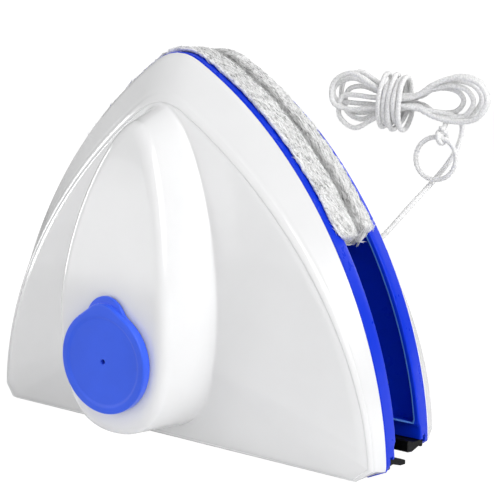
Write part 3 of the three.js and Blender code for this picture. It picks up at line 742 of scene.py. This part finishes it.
def make_tray(side):
    angles, front = tray_front()
    back = tray_back(angles, FORMS[side])
    verts, faces = capped_rings(front[::-1] + back[::-1])
    tray = mesh_object(f"{side}_tray_moulding", place(verts, side), faces, 40)
    cutters = [extrusion("slot", BLADE_SLOT, 100, side)]
    for i, (x, z) in enumerate(SCREWS.values()):
        cutters.append(drum(f"seat{i}", SEAT_RADIUS, FLOOR - 1, FLOOR_BACK - 0.4, x, z, side))
        cutters.append(drum(f"hole{i}", SCREW_HOLE, 14, 20, x, z, side, 16))
    for x in (-WICK_X, WICK_X):
        cutters.append(drum(f"drip{x}", DRIP_HOLE, FLOOR - 1, 17, x, WICK_Z, side, 16))
    cut_with(tray, 40, cutters)
    # painted highlight: a light line along the recess's rounded edge
    mark_recess_edge(tray, side)
    finish_piece(tray, f"{side}_half", "blue_tray", f"{side}_tray")


# ------------------------------------------------------------------ pads
PAD_MIDDLE = np.array([0.0, 105.0])
# How far the pile grows past the tray at the top (crown) and the sides (swell), how far back it flares
# over the rim, and the radius of its rolled edge
PAD_SHAPES = {
    "inner": dict(crown=1.6, swell=1.9, flare=5.0, roll=1.6),
    "outer": dict(crown=1.6, swell=1.4, flare=4.2, roll=6.6),
}
SPILL = (77, 84)  # heights between which the pile begins to spill over the tray's rim
PILE_CORNER, PILE_LUMP, PILE_LOW, YARN_LOW = 5.5, 0.5, 0.25, 0.12
YARN_COUNT, YARN_RADIUS = 14000, 0.13
EDGE_START, FACE_YARNS = 0.9, 0.12  # nearer the glass than this, the pad gets this share of the yarns


def pad_rings(angles, shape):
    """Rings from the middle of the face, out over the rolled edge and back over the rim to the plug."""
    outline = arch(SEAM, PAD["bottom"], PILE_CORNER)
    rim = radius_at(outline, angles, PAD_MIDDLE)
    height = PAD_MIDDLE[1] + rim * np.sin(angles)
    spill = smooth_step(height, *SPILL)
    aside = np.clip(np.abs(rim * np.cos(angles)) / 36, 0, 1)
    grown = rim + shape["crown"] + (shape["swell"] - shape["crown"]) * aside
    plug_outline = inset(arch(SEAM, PAD["bottom"] + 2, PAD["corner"]), PAD["plug_inset"])
    plug = radius_at(plug_outline, angles, PAD_MIDDLE)
    near, roll = PAD["face"] + 0.3, shape["roll"]
    back = PAD["back"] - 0.2 + shape["flare"] * spill
    at = lambda r, d: polar(r, d, angles, PAD_MIDDLE)
    rings = [at(grown * s, near) for s in (0.03, 0.2, 0.4, 0.58, 0.74, 0.84)]
    rings += blend_rings(at(grown - roll, near), at(grown, near), at(grown, near + roll), 14)
    rings += [at(grown, near + roll + (back - 2 - near - roll) * s) for s in (0.25, 0.5, 0.75)]
    under = rim + 0.45 * spill
    rings += blend_rings(at(grown, back - 2), at(grown, back), at((grown + under) / 2, back), 7)
    rings += [at(under, back - 0.3), at(under - 0.3, PAD["back"] + (back - PAD["back"]) * 0.3 - 0.2)]
    rings += [at(rim - 1.5, PAD["back"] - 0.2), at(plug, PAD["back"] - 0.2), at(plug, PAD["plug"])]
    rings += [at(plug * s, PAD["plug"]) for s in (0.7, 0.4, 0.05)]
    return rings


def fluff(points, normals, amount, seed):
    """Lumps of the pile: noise at three sizes, along the normals."""
    out = np.empty_like(points)
    offset = Vector((seed * 17.3, seed * 5.1, 0))
    for i, (p, n) in enumerate(zip(points, normals)):
        at = Vector(p) + offset
        lump = noise.noise(at * 0.13) * 0.6 + noise.noise(at * 0.5) * 0.5 + noise.noise(at * 1.1) * 0.3
        out[i] = p + n * lump * amount
    return out


def yarns(points, normals, directions, lengths, radius, lift, rng):
    """Short tapered yarns that lie along the pile and lift their tips."""
    count, sides, steps = len(points), 3, 2
    verts = np.empty((count, steps * sides + 1, 3))
    across = np.cross(normals, directions)
    curl = rng.uniform(-0.3, 0.3, count)[:, None]
    for k in range(steps):
        s = k / steps
        centre = points + directions * lengths * s + across * lengths * curl * s * s
        centre = centre + normals * (lift * (0.15 + 1.5 * s - 0.9 * s * s))
        thick = radius * (1 - 0.3 * s)
        for j in range(sides):
            a = 2 * math.pi * j / sides
            verts[:, k * sides + j] = centre + thick * (across * math.cos(a) + normals * math.sin(a))
    verts[:, -1] = points + directions * lengths + across * lengths * curl + normals * lift * 0.75
    one = [(j, (j + 1) % sides, (j + 1) % sides + sides, j + sides) for j in range(sides)]
    one += [(sides + j, sides + (j + 1) % sides, steps * sides) for j in range(sides)]
    one.append(tuple(range(sides))[::-1])
    per = steps * sides + 1
    faces = [tuple(v + i * per for v in f) for i in range(count) for f in one]
    return verts.reshape(-1, 3), faces


def scatter(base, quads, count, rng):
    """Random points on the quads, densest on the edge that shows, with the way out and the way round."""
    corners = base[quads]
    diagonals = corners[:, 2] - corners[:, 0], corners[:, 3] - corners[:, 1]
    area = np.linalg.norm(np.cross(*diagonals), axis=1) / 2
    weight = area * np.where(corners[:, :, 1].mean(1) > EDGE_START, 1.0, FACE_YARNS)
    pick = rng.choice(len(quads), count, p=weight / weight.sum())
    c = corners[pick]
    u, v = rng.random((2, count, 1))
    points = (c[:, 0] * (1 - u) + c[:, 1] * u) * (1 - v) + (c[:, 3] * (1 - u) + c[:, 2] * u) * v
    facing = np.cross(c[:, 2] - c[:, 0], c[:, 3] - c[:, 1])
    facing /= np.linalg.norm(facing, axis=1)[:, None]
    outward = points - (PAD_MIDDLE[0], 5, PAD_MIDDLE[1])
    facing *= np.sign((facing * outward).sum(1))[:, None]
    along = c[:, 1] - c[:, 0]
    along /= np.linalg.norm(along, axis=1)[:, None]
    return points, facing, along


def vertex_normals(verts, faces):
    mesh = bpy.data.meshes.new("normals")
    mesh.from_pydata(verts.tolist(), [], faces)
    bm = outward(mesh)
    bm.normal_update()
    normals = np.array([v.normal[:] for v in bm.verts])
    bm.free()
    bpy.data.meshes.remove(mesh)
    return normals


def fibre_coordinates(obj, side):
    """A UV map whose first axis runs around the pad and whose second runs across it, in millimetres."""
    mesh = obj.data
    at = millimetres(mesh, side)
    rel = at[:, [0, 2]] - PAD_MIDDLE
    # the cut of the angle is at the bottom, where the pad faces the recess
    around = np.arctan2(rel[:, 0], rel[:, 1]) * 60
    across = at[:, 1] + np.hypot(*rel.T) * 0.6
    corner = np.empty(len(mesh.loops), int)
    mesh.loops.foreach_get("vertex_index", corner)
    layer = mesh.uv_layers.new(name="fibres")
    layer.data.foreach_set("uv", np.stack([around[corner], across[corner]], 1).ravel())


def make_pad(side, seed):
    outline = arch(SEAM, PAD["bottom"], PILE_CORNER)
    angles = ray_angles([outline], step=0.8, centre=PAD_MIDDLE)
    rings = pad_rings(angles, PAD_SHAPES[side])
    verts, faces = capped_rings(rings)
    n = len(angles)
    hidden = (len(rings) - 7) * n  # from here on the rings face the tray
    soft = np.where(np.arange(len(verts)) < hidden, 1.0, 0.1)
    base = fluff(verts, vertex_normals(verts, faces) * soft[:, None], PILE_LUMP, seed)
    base[:, 1] = np.maximum(base[:, 1], PILE_LOW)

    rng = np.random.default_rng(seed)
    count = YARN_COUNT
    quads = np.array([f for f in faces if len(f) == 4 and max(f) < hidden])
    points, facing, along = scatter(base, quads, count, rng)
    turn = rng.normal(0, 0.17, count)[:, None] + np.pi * rng.integers(0, 2, count)[:, None]
    directions = along * np.cos(turn) + np.cross(facing, along) * np.sin(turn)
    lengths = rng.uniform(1.4, 3.2, count)[:, None]
    lift = rng.uniform(0.08, 0.36, count)[:, None]
    yarn_verts, yarn_faces = yarns(points, facing, directions, lengths, YARN_RADIUS, lift, rng)
    yarn_verts[:, 1] = np.maximum(yarn_verts[:, 1], YARN_LOW)
    verts, faces = stacked([(base, faces), (yarn_verts, yarn_faces)])
    pad = mesh_object(f"{side}_pad_pile", place(verts, side), faces, 80)
    fibre_coordinates(pad, side)
    finish_piece(pad, f"{side}_half", "microfibre", f"{side}_pad")


# ------------------------------------------------------------------ squeegee blades
# Sections as (d, z): the lip's under side from its tip, the root in its slot, and the lip's top back out
LIP_UNDERSIDES = {
    "inner": [(0.3, 1.2), (0.45, 0.8), (4.5, 1.6), (10.7, 4.0)],
    "outer": [(1.0, 5.4), (1.5, 4.6), (5.0, 3.7), (10.7, 4.0)],
}
LIP_TOPS = {
    "inner": [(10.7, 6.2), (4.5, 4.2), (0.8, 2.6), (0.4, 2.3)],
    "outer": [(10.7, 6.2), (5.5, 7.3), (1.8, 8.9), (1.1, 8.6)],
}
BLADE_ROOT = [
    (13, 4.1), (13, 3.3), (13.2, 3.1), (14.2, 3.1), (14.4, 3.3),
    (14.4, 7.2), (14.2, 7.4), (13.2, 7.4), (13, 7.2), (13, 6.2),
]
BLADE_HALF, BLADE_WAVE = 87, 0.12


def make_blade(side):
    profile = LIP_UNDERSIDES[side] + BLADE_ROOT + LIP_TOPS[side]

    def wavy(x, points):
        """The free lip waves a little, and the strip narrows at its very ends."""
        free = np.clip((9 - points[:, 1]) / 9, 0, 1)
        trim = np.clip(abs(x) - (BLADE_HALF - 0.6), 0, 1) * 0.075
        z = points[:, 2] + BLADE_WAVE * np.sin(x * 0.11 + 1) * free
        points[:, 2] = z + (4.5 - z) * trim
        return points

    blade = extrusion(f"{side}_blade_strip", profile, BLADE_HALF, side, 90, wavy)
    finish_piece(blade, f"{side}_blade", "black_rubber", f"{side}_squeegee_blade")


# ------------------------------------------------------------------ filler caps
CAP_BASE = HANDLE_TOP + GAP
CAP_END = CAP_BASE - CAP["depth"]
# (radius, distance below the top): the dished front, from the vent out to the raised band at the edge
CAP_DISH = [(4, 0.4), (8, 0.4), (12, 0.4), (14.6, 0.4), (15.1, 0.38), (15.5, 0.2), (15.9, 0.03), (16.3, 0)]
CAP_EDGE, CAP_LIP = 0.7, 0.5
TAB_STEP = dict(length=2.5, depth=1.9)  # the tab's end is thinner
SEAL = dict(tube=0.95, inset=0.15, height=3.1)  # height of the groove's middle over the plug's end
SOFT_JOIN = 1.1  # how widely disc and tab run into each other


def cap_outline(reach=CAP_TAB["reach"]):
    """The disc with its pull tab, as seen from the front, around the cap's own middle."""
    hw = CAP_TAB["half_width"]
    reach = reach - hw
    angles = np.linspace(-math.pi / 2, 3 * math.pi / 2, 721)[:-1]
    ray = np.stack([np.cos(angles), np.sin(angles)], 1)
    disc = np.full(len(angles), CAP["radius"])
    # the tab's round end
    b = ray[:, 1] * reach
    inside = b * b - reach * reach + hw * hw
    tab = np.where(inside > 0, b + np.sqrt(np.maximum(inside, 0)), 0)
    # the tab's straight sides
    with np.errstate(divide="ignore"):
        straight = hw / np.abs(ray[:, 0])
    up = ray[:, 1] > 0
    tab = np.maximum(tab, np.where(up & (straight * ray[:, 1] < reach), straight, 0))
    # a soft union, so that disc and tab join in a small curve
    sizes = (disc, np.minimum(tab, 24))
    joined = np.log(sum(np.exp((size - 18) / SOFT_JOIN) for size in sizes)) * SOFT_JOIN + 18
    return angles, np.where(up & (tab > 0), joined, disc)


def plug_profile():
    """(radius, depth) down the plug, around its groove, and up its hollow inside to the vent."""
    plug, floor = CAP["plug"], CAP_BASE + 1.2
    groove = plug - 1.4
    seal_at = CAP_END + SEAL["height"]
    outside = [(plug + 0.4, CAP_BASE), (plug, CAP_BASE - 0.4)]
    around_seal = [(plug, seal_at + 1.2), (groove, seal_at + 1)]
    around_seal += [(groove, seal_at - 1), (plug, seal_at - 1.2)]
    end = [(plug, CAP_END + 0.5), (plug - 0.5, CAP_END), (plug - 2, CAP_END)]
    return outside + around_seal + end + [(plug - 2, floor), (CAP["vent"] + 0.2, floor)]


def make_cap(side):
    centre = np.array([0.0, CAP["height"]])
    angles, outer = cap_outline()
    body = cap_outline(CAP_TAB["reach"] - TAB_STEP["length"])[1]
    top = CAP_BASE + CAP["thickness"]
    step, vent = top - TAB_STEP["depth"], CAP["vent"]
    at = lambda r, d: polar(r, d, angles, centre)
    level = lambda r, d: at(np.full(len(angles), r), d)

    rings = [level(vent, CAP_BASE + 1.2), level(vent, top - 0.65), level(vent + 0.25, top - 0.4)]
    rings += [level(r, top - below) for r, below in CAP_DISH]
    rings += blend_rings(at(body - CAP_EDGE, top), at(body, top), at(body, top - CAP_EDGE), 6)
    rings += [at(body, step + 0.15), at(body + (outer - body) * 0.3, step)]
    in_from_tip = np.maximum(outer - CAP_LIP, body)
    rings += blend_rings(at(in_from_tip, step), at(outer, step), at(outer, step - CAP_LIP), 4)
    under = at(outer, CAP_BASE)
    rings += blend_rings(at(outer, CAP_BASE + CAP_LIP), under, at(outer - CAP_LIP, CAP_BASE), 4)
    rings += [level(r, d) for r, d in plug_profile()]
    verts, faces = looped_rings(rings)
    cap = mesh_object(f"{side}_cap_moulding", place(verts, side), faces, 38)
    finish_piece(cap, f"{side}_cap", "blue_cap", f"{side}_filler_cap")


# ------------------------------------------------------------------ small parts
WICK = dict(radius=1.3, near=13, far=31, fuzz=0.1)
SCREW_SEAT, THREAD_PITCH = 14.2, 0.8
# (radius, depth behind the head's top)
SCREW_HEAD = [
    (0.3, 0), (1.2, 0.03), (1.9, 0.15), (2.4, 0.4),
    (2.7, 0.85), (2.7, 1.6), (2.6, 1.7), (1.3, 1.7),
]


def make_seal(side, around=72, sides=14):
    """A rubber ring in the plug's groove."""
    b = round_angles(sides)
    r = CAP["plug"] - SEAL["inset"] + SEAL["tube"] * np.cos(b)
    depth = CAP_END + SEAL["height"] + SEAL["tube"] * np.sin(b)
    rings = []
    for a in round_angles(around):
        rings.append(np.stack([r * math.cos(a), depth, CAP["height"] + r * math.sin(a)], 1))
    verts, faces = looped_rings(rings)
    seal = mesh_object(f"{side}_cap_o_ring", place(verts, side), faces)
    finish_piece(seal, f"{side}_cap", "grey_silicone", f"{side}_filler_cap_seal")


def make_wick(side, name, x, seed):
    """A felt rod with a fibrous, slightly uneven skin."""
    angles = round_angles(20)
    rings = []
    for d in np.linspace(WICK["near"], WICK["far"], 40):
        skin = [Vector((math.cos(a) * 2, d * 0.6, math.sin(a) * 2 + seed)) for a in angles]
        fuzz = WICK["fuzz"] * np.array([abs(noise.noise(at)) for at in skin])
        end = 0.75 if d in (WICK["near"], WICK["far"]) else 1
        rings.append(round_ring(WICK["radius"] * end - fuzz, d, x, WICK_Z, angles))
    verts, faces = capped_rings(rings)
    wick = mesh_object(f"{side}_{name}_rod", place(verts, side), faces)
    finish_piece(wick, f"{side}_half", "felt", f"{side}_{name}")


def make_screw(side, name, x, z):
    """Pan head with a cross recess, and a coarse thread."""
    angles = round_angles(24)
    rings = [round_ring(r, SCREW_SEAT + d, x, z, angles) for r, d in SCREW_HEAD]
    for d in np.linspace(1.9, 8, 50):
        phase = (d / THREAD_PITCH - angles / (2 * math.pi)) % 1
        thread = 1.0 + 0.3 * np.clip(1 - np.abs(phase - 0.5) * 4, 0, 1)
        point = min(1, (8.8 - d) / 1.2)
        rings.append(round_ring(thread * point, SCREW_SEAT + d, x, z, angles))
    verts, faces = capped_rings(rings)
    screw_name = f"{side}_screw_{name}"
    screw = mesh_object(f"{screw_name}_threaded", place(verts, side), faces)
    head = place([(x, SCREW_SEAT, z)], side)[0]
    cutters = [box_object("recess", head, size) for size in ((2.8, 2, 0.7), (0.7, 2, 2.8))]
    cut_with(screw, 35, cutters)
    finish_piece(screw, f"{side}_half", "zinc_steel", screw_name)


def keep_node(name, slot, bevel):
    """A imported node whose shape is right: a procedural material and a fine bevel."""
    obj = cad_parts[name]
    obj.data.materials.clear()
    obj.data.materials.append(LOOKS[slot])
    mod = obj.modifiers.new("edge", "BEVEL")
    mod.width, mod.segments = bevel * MM, 2
    mod.limit_method, mod.angle_limit = "ANGLE", math.radians(40)
    mod.harden_normals = True


# ------------------------------------------------------------------ safety cord
def smooth_path(points, step):
    """A centripetal Catmull-Rom curve through the points, at even steps."""
    p = np.asarray(points, float)
    p = np.vstack([2 * p[0] - p[1], p, 2 * p[-1] - p[-2]])
    out = []
    for a, b, c, d in zip(p[:-3], p[1:-2], p[2:-1], p[3:]):
        t = np.cumsum([0] + [max(np.linalg.norm(v) ** 0.5, 1e-3) for v in (b - a, c - b, d - c)])
        s = np.linspace(t[1], t[2], 24, endpoint=False)[:, None]
        mix = lambda start, end, i, j: start + (end - start) * (s - t[i]) / (t[j] - t[i])
        first, middle, last = mix(a, b, 0, 1), mix(b, c, 1, 2), mix(c, d, 2, 3)
        out.append(mix(mix(first, middle, 0, 2), mix(middle, last, 1, 3), 1, 2))
    out = np.vstack(out + [p[-2]])
    lengths = np.append(0, np.cumsum(np.linalg.norm(np.diff(out, axis=0), axis=1)))
    even = np.linspace(0, lengths[-1], max(2, int(lengths[-1] / step)))
    return np.stack([np.interp(even, lengths, out[:, i]) for i in range(3)], 1)


def braided_tube(path, radius, closed=False, sides=12, lay=3.4, depth=0.13):
    """A cord whose skin is two families of strands that cross over each other."""
    n = len(path)
    ahead = np.roll(path, -1, 0) - np.roll(path, 1, 0)
    if not closed:
        ahead[0], ahead[-1] = path[1] - path[0], path[-1] - path[-2]
    ahead /= np.linalg.norm(ahead, axis=1)[:, None]
    normal = np.zeros_like(path)
    normal[0] = np.cross(ahead[0], (0.3, 0.5, 0.81))
    normal[0] /= np.linalg.norm(normal[0])
    for i in range(1, n):
        v = normal[i - 1] - ahead[i] * np.dot(normal[i - 1], ahead[i])
        normal[i] = v / np.linalg.norm(v)
    side = np.cross(ahead, normal)
    length = np.append(0, np.cumsum(np.linalg.norm(np.diff(path, axis=0), axis=1)))
    a = round_angles(sides)
    cos_a, sin_a = np.cos(a)[:, None], np.sin(a)[:, None]
    rings = []
    for i in range(n):
        turn = 2 * math.pi * length[i] / lay
        weave = np.abs(np.sin(a * 2 + turn)) * 0.5 + np.abs(np.sin(a * 2 - turn)) * 0.5
        r = radius - depth + 2 * depth * weave
        from_end = min(length[i], length[-1] - length[i])
        taper = 1.0 if closed else min(1.0, 0.55 + 0.6 * from_end / radius)
        rings.append(path[i] + (normal[i] * cos_a + side[i] * sin_a) * r[:, None] * taper)
    return rings


CORD_RADIUS = 0.98
HANK = dict(x=54.0, y=53.0, z=125.6, slant=0.1)
# Each turn of the hank: (layer, right end x, its top and bottom, left end x, its top and bottom)
HANK_TURNS = [
    (-1.6, 36.5, 9.2, -7.4, -25.5, 10.6, -3.5),
    (-0.8, 31.0, 6.2, -6.2, -23.0, 2.0, -10.9),
    (0.0, 33.5, 8.0, -5.4, -26.3, 8.6, -1.0),
    (0.8, 26.0, 5.2, -4.2, -22.0, 5.6, -7.5),
    (1.6, 35.0, 9.8, -6.6, -24.6, 11.2, -5.0),
]


def hank_point(layer, x, z):
    return (HANK["x"] + x, HANK["y"] + HANK["slant"] * x + layer * 2.1, HANK["z"] + z)


def hank_turn(layer, right, right_top, right_low, left, left_top, left_low, k):
    """One turn: a long loop with two lobes, pinched at its waist by the wrap."""
    w = 2.6 - 0.5 * abs(layer)
    pinch = 0.55 * math.sin(k * 2.1)
    at = lambda x, z, lay=layer: hank_point(lay, x, z)
    mid_left = (left_top + left_low) / 2
    mid_right = (right_top + right_low) / 2
    left_lobe = [
        at(2, -w + pinch), at(left * 0.35, left_low * 0.55 - 1), at(left * 0.7, left_low),
        at(left * 0.95, left_low * 0.6 + mid_left * 0.2), at(left, mid_left),
        at(left * 0.93, left_top * 0.75), at(left * 0.68, left_top), at(left * 0.36, left_top * 0.62),
    ]
    right_lobe = [
        at(0, w * 0.7 + pinch), at(9, w + pinch * 0.5),
        at(right * 0.45, right_top * 0.72), at(right * 0.7, right_top),
        at(right * 0.92, right_top * 0.72 + mid_right * 0.1, layer + 0.1),
        at(right, mid_right, layer + 0.3), at(right * 0.9, right_low * 0.8, layer + 0.5),
        at(right * 0.68, right_low, layer + 0.6),
        at(right * 0.42, right_low * 0.72, layer + 0.7), at(9, -w + pinch, layer + 0.75),
    ]
    return left_lobe + right_lobe


def wrap_turns():
    """Turns around the hank's middle, a little loose at their tops and bottoms."""
    out = []
    turns, steps = 5, 10
    for i in range(turns * steps + 1):
        turn = i / steps
        a = turn * 2 * math.pi
        loose = 1 + 0.14 * math.sin(turn * 2.7 + 1)
        x = HANK["x"] - 5.5 + 2.1 * turn + 1.2 * math.sin(a)
        y = HANK["y"] + 0.2 + (6.2 + 0.25 * (i % 3)) * math.cos(a)
        z = HANK["z"] + (9.4 if math.sin(a) > 0 else 10.0) * loose * math.sin(a)
        out.append((x, y, z))
    return out


def hitch_on_ring():
    top = np.array([RING["x"] + 2.2, RING["y"], RING["z"] + RING["radius"] - 0.3])
    out = []
    for i in range(11):
        a = math.pi / 2 + i / 10 * 2 * math.pi
        out.append(tuple(top + (0.3 * i - 1.5, 2.0 * math.cos(a), 2.0 * math.sin(a))))
    return out


def knot(centre, size):
    """An overhand knot: a closed trefoil of the same cord, pulled tight."""
    t = np.linspace(0, 2 * math.pi, 90, endpoint=False)
    x = size * 0.25 * (np.sin(t) + 2 * np.sin(2 * t))
    y = size * 0.25 * (np.cos(t) - 2 * np.cos(2 * t))
    z = size * -0.48 * np.sin(3 * t)
    path = np.array(centre) + np.stack([z, x, y], 1)
    return looped_rings(braided_tube(path, 0.8, closed=True))


def make_cord():
    """One cord: through the lug, up to the hank, five turns, five wraps and down to the ring."""
    eye = np.array([LUG["x"], LUG["depth"], LUG["z"]])
    through_eye = [eye + (-4.5, 0, 0), eye, eye + (4.6, 0.6, 2)]
    lead = [
        (60, 38.4, 77), (65, 44, 85), (70, 54.6, 94.6), (74.8, 55.6, 101), (78.4, 56, 107),
        (80.2, 56.6, 113), (80.0, 56.6, 117.3), (77.0, 55.5, 120.4), (69, 53.6, 122),
    ]
    turns = [p for k, turn in enumerate(HANK_TURNS) for p in hank_turn(*turn, k)]
    tail = [(63, 60, 121.5), (69.5, 58.0, 121.4), (73.4, 55.4, 119.6), (74.8, 53.2, 116.6)]
    points = through_eye + lead + turns + wrap_turns() + tail + hitch_on_ring()
    rings = braided_tube(smooth_path(points, 0.42), CORD_RADIUS)
    over_ring = (RING["x"] + 2.2, RING["y"], RING["z"] + RING["radius"] + 3.0)
    parts = [capped_rings(rings), knot(eye - (4.4, 0, 0), 1.5), knot(over_ring, 1.1)]
    cord = mesh_object("safety_cord_braid", *stacked(parts), 70)
    finish_piece(cord, "cord", "cord", "safety_cord")


def make_ring():
    a = np.linspace(0, 2 * math.pi, 150, endpoint=False)
    path = round_ring(RING["radius"], RING["y"], RING["x"], RING["z"], a)
    rings = braided_tube(path, RING["tube"], closed=True, lay=2 * math.pi * RING["radius"] / 15)
    ring = mesh_object("finger_ring_loop", *looped_rings(rings), 70)
    finish_piece(ring, "ring", "ring", "finger_ring")


# ------------------------------------------------------------------ assembly
KEPT_NODES = {
    "pad_hook_sheet": ("hook_tape", 0.1),
    "tank_floor": ("tank_plastic", 0.3),
    "tank_gasket": ("grey_silicone", 0.3),
    "magnet_left": ("nickel", 0.5),
    "magnet_right": ("nickel", 0.5),
    "magnet_yoke": ("zinc_steel", 0.3),
}

for number, half_name in enumerate(("inner", "outer")):
    make_shell(half_name)
    make_tray(half_name)
    make_pad(half_name, 5 + number)
    make_blade(half_name)
    make_cap(half_name)
    make_seal(half_name)
    make_wick(half_name, "wick_left", -WICK_X, 1)
    make_wick(half_name, "wick_right", WICK_X, 2)
    for place_name, (screw_x, screw_z) in SCREWS.items():
        make_screw(half_name, place_name, screw_x, screw_z)
    for node_name, (look_name, rounding) in KEPT_NODES.items():
        keep_node(f"{half_name}_{node_name}", look_name, rounding)
keep_node("cord_lug", "white_shell", 0.35)
make_cord()
make_ring()


# ------------------------------------------------------------------ stage, light and camera
SKY_LEVEL = 0.42  # ambient light, and how it rises along each axis
SKY_LEAN = (-0.11, -0.34, -0.24)
FLOOR_SIZE, FLOOR_LEVEL = 6.0, -0.0004
FLOOR_GLOW, FLOOR_GLOW_SHARE, SKY_SEEN = 1.15, 0.86, 1.1
HEART = (0, 0, 0.07)  # what the lights point at
LIGHTS = {
    "key_right": dict(at=(0.95, -0.1, 0.75), size=(0.9, 0.9), power=12),
    "fill_front": dict(at=(-0.8, -1.2, 0.3), size=(1.0, 0.6), power=2.0),
    "fill_left": dict(at=(-0.55, -0.5, 0.12), size=(0.5, 0.35), power=0.25),
    "edge_left": dict(at=(-1.2, -0.2, 0.2), size=(0.25, 0.7), power=3.0),
    "back": dict(at=(0.1, 1.3, 0.4), size=(0.8, 0.6), power=3.6),
}
SENSOR, LENS = 36, 72.8745
CAMERA_AT = (0.22075, -0.31074, 0.13037)
CAMERA_RIGHT = (0.838412, 0.544872, 0.013383)
CAMERA_UP = (-0.095824, 0.123188, 0.987746)
CAMERA_BACK = (0.536547, -0.829421, 0.155495)


def show_to_camera(tree, output, plain, seen, share):
    """Swaps a share of the plain shader for another one, in what the camera sees directly."""
    path = tree.nodes.new("ShaderNodeLightPath")
    amount = add_node(tree, "ShaderNodeMath", {0: path.outputs["Is Camera Ray"]})
    amount.operation = "MULTIPLY"
    amount.inputs[1].default_value = share
    shaders = {"Fac": amount.outputs[0], 1: plain.outputs[0], 2: seen.outputs[0]}
    mix = add_node(tree, "ShaderNodeMixShader", shaders)
    tree.links.new(mix.outputs[0], tree.nodes[output].inputs["Surface"])


def floor_material():
    """White, and as bright to the camera as a lit sweep, so that only a faint contact shadow shows."""
    mat, tree, bsdf = shader("floor", (0.85, 0.85, 0.85), 0.7)
    glow = add_node(tree, "ShaderNodeEmission", Strength=FLOOR_GLOW)
    show_to_camera(tree, "Material Output", bsdf, glow, FLOOR_GLOW_SHARE)
    return mat


def add_floor():
    mesh = bpy.data.meshes.new("floor")
    size, low = FLOOR_SIZE, FLOOR_LEVEL
    corners = [(-size, -size, low), (size, -size, low), (size, size, low), (-size, size, low)]
    mesh.from_pydata(corners, [], [(0, 1, 2, 3)])
    mesh.materials.append(floor_material())
    floor = bpy.data.objects.new("floor", mesh)
    bpy.context.scene.collection.objects.link(floor)


def add_world():
    """Soft light, strongest from the front and weakest from above; the camera sees plain white."""
    world = bpy.data.worlds.new("studio")
    bpy.context.scene.world = world
    world.use_nodes = True
    tree = world.node_tree
    coord = tree.nodes.new("ShaderNodeTexCoord")
    lean = add_node(tree, "ShaderNodeVectorMath", {0: coord.outputs["Generated"]})
    lean.operation = "DOT_PRODUCT"
    lean.inputs[1].default_value = SKY_LEAN
    level = add_node(tree, "ShaderNodeMath", {0: lean.outputs["Value"]})
    level.operation = "ADD"
    level.use_clamp = True
    level.inputs[1].default_value = SKY_LEVEL
    lit = tree.nodes["Background"]
    lit.inputs["Color"].default_value = (1, 1, 1, 1)
    tree.links.new(level.outputs[0], lit.inputs["Strength"])
    seen = add_node(tree, "ShaderNodeBackground", Color=(1, 1, 1, 1), Strength=SKY_SEEN)
    show_to_camera(tree, "World Output", lit, seen, 1)


def add_light(name, at, size, power):
    data = bpy.data.lights.new(name, "AREA")
    data.shape, data.energy = "RECTANGLE", power
    data.size, data.size_y = size
    obj = bpy.data.objects.new(name, data)
    obj.location = at
    obj.rotation_mode = "QUATERNION"
    obj.rotation_quaternion = (Vector(HEART) - Vector(at)).to_track_quat("-Z", "Y")
    bpy.context.scene.collection.objects.link(obj)


def add_camera():
    """A long lens from the right, a little above."""
    data = bpy.data.cameras.new("camera")
    data.sensor_width, data.lens = SENSOR, LENS
    data.clip_start, data.clip_end = 0.01, 50
    camera = bpy.data.objects.new("camera", data)
    turn = Matrix((CAMERA_RIGHT, CAMERA_UP, CAMERA_BACK)).transposed()
    camera.matrix_world = Matrix.Translation(CAMERA_AT) @ turn.to_4x4()
    bpy.context.scene.collection.objects.link(camera)
    bpy.context.scene.camera = camera


add_floor()
add_world()
for light_name, light in LIGHTS.items():
    add_light(light_name, **light)
add_camera()
bpy.context.scene.view_settings.view_transform = "Standard"
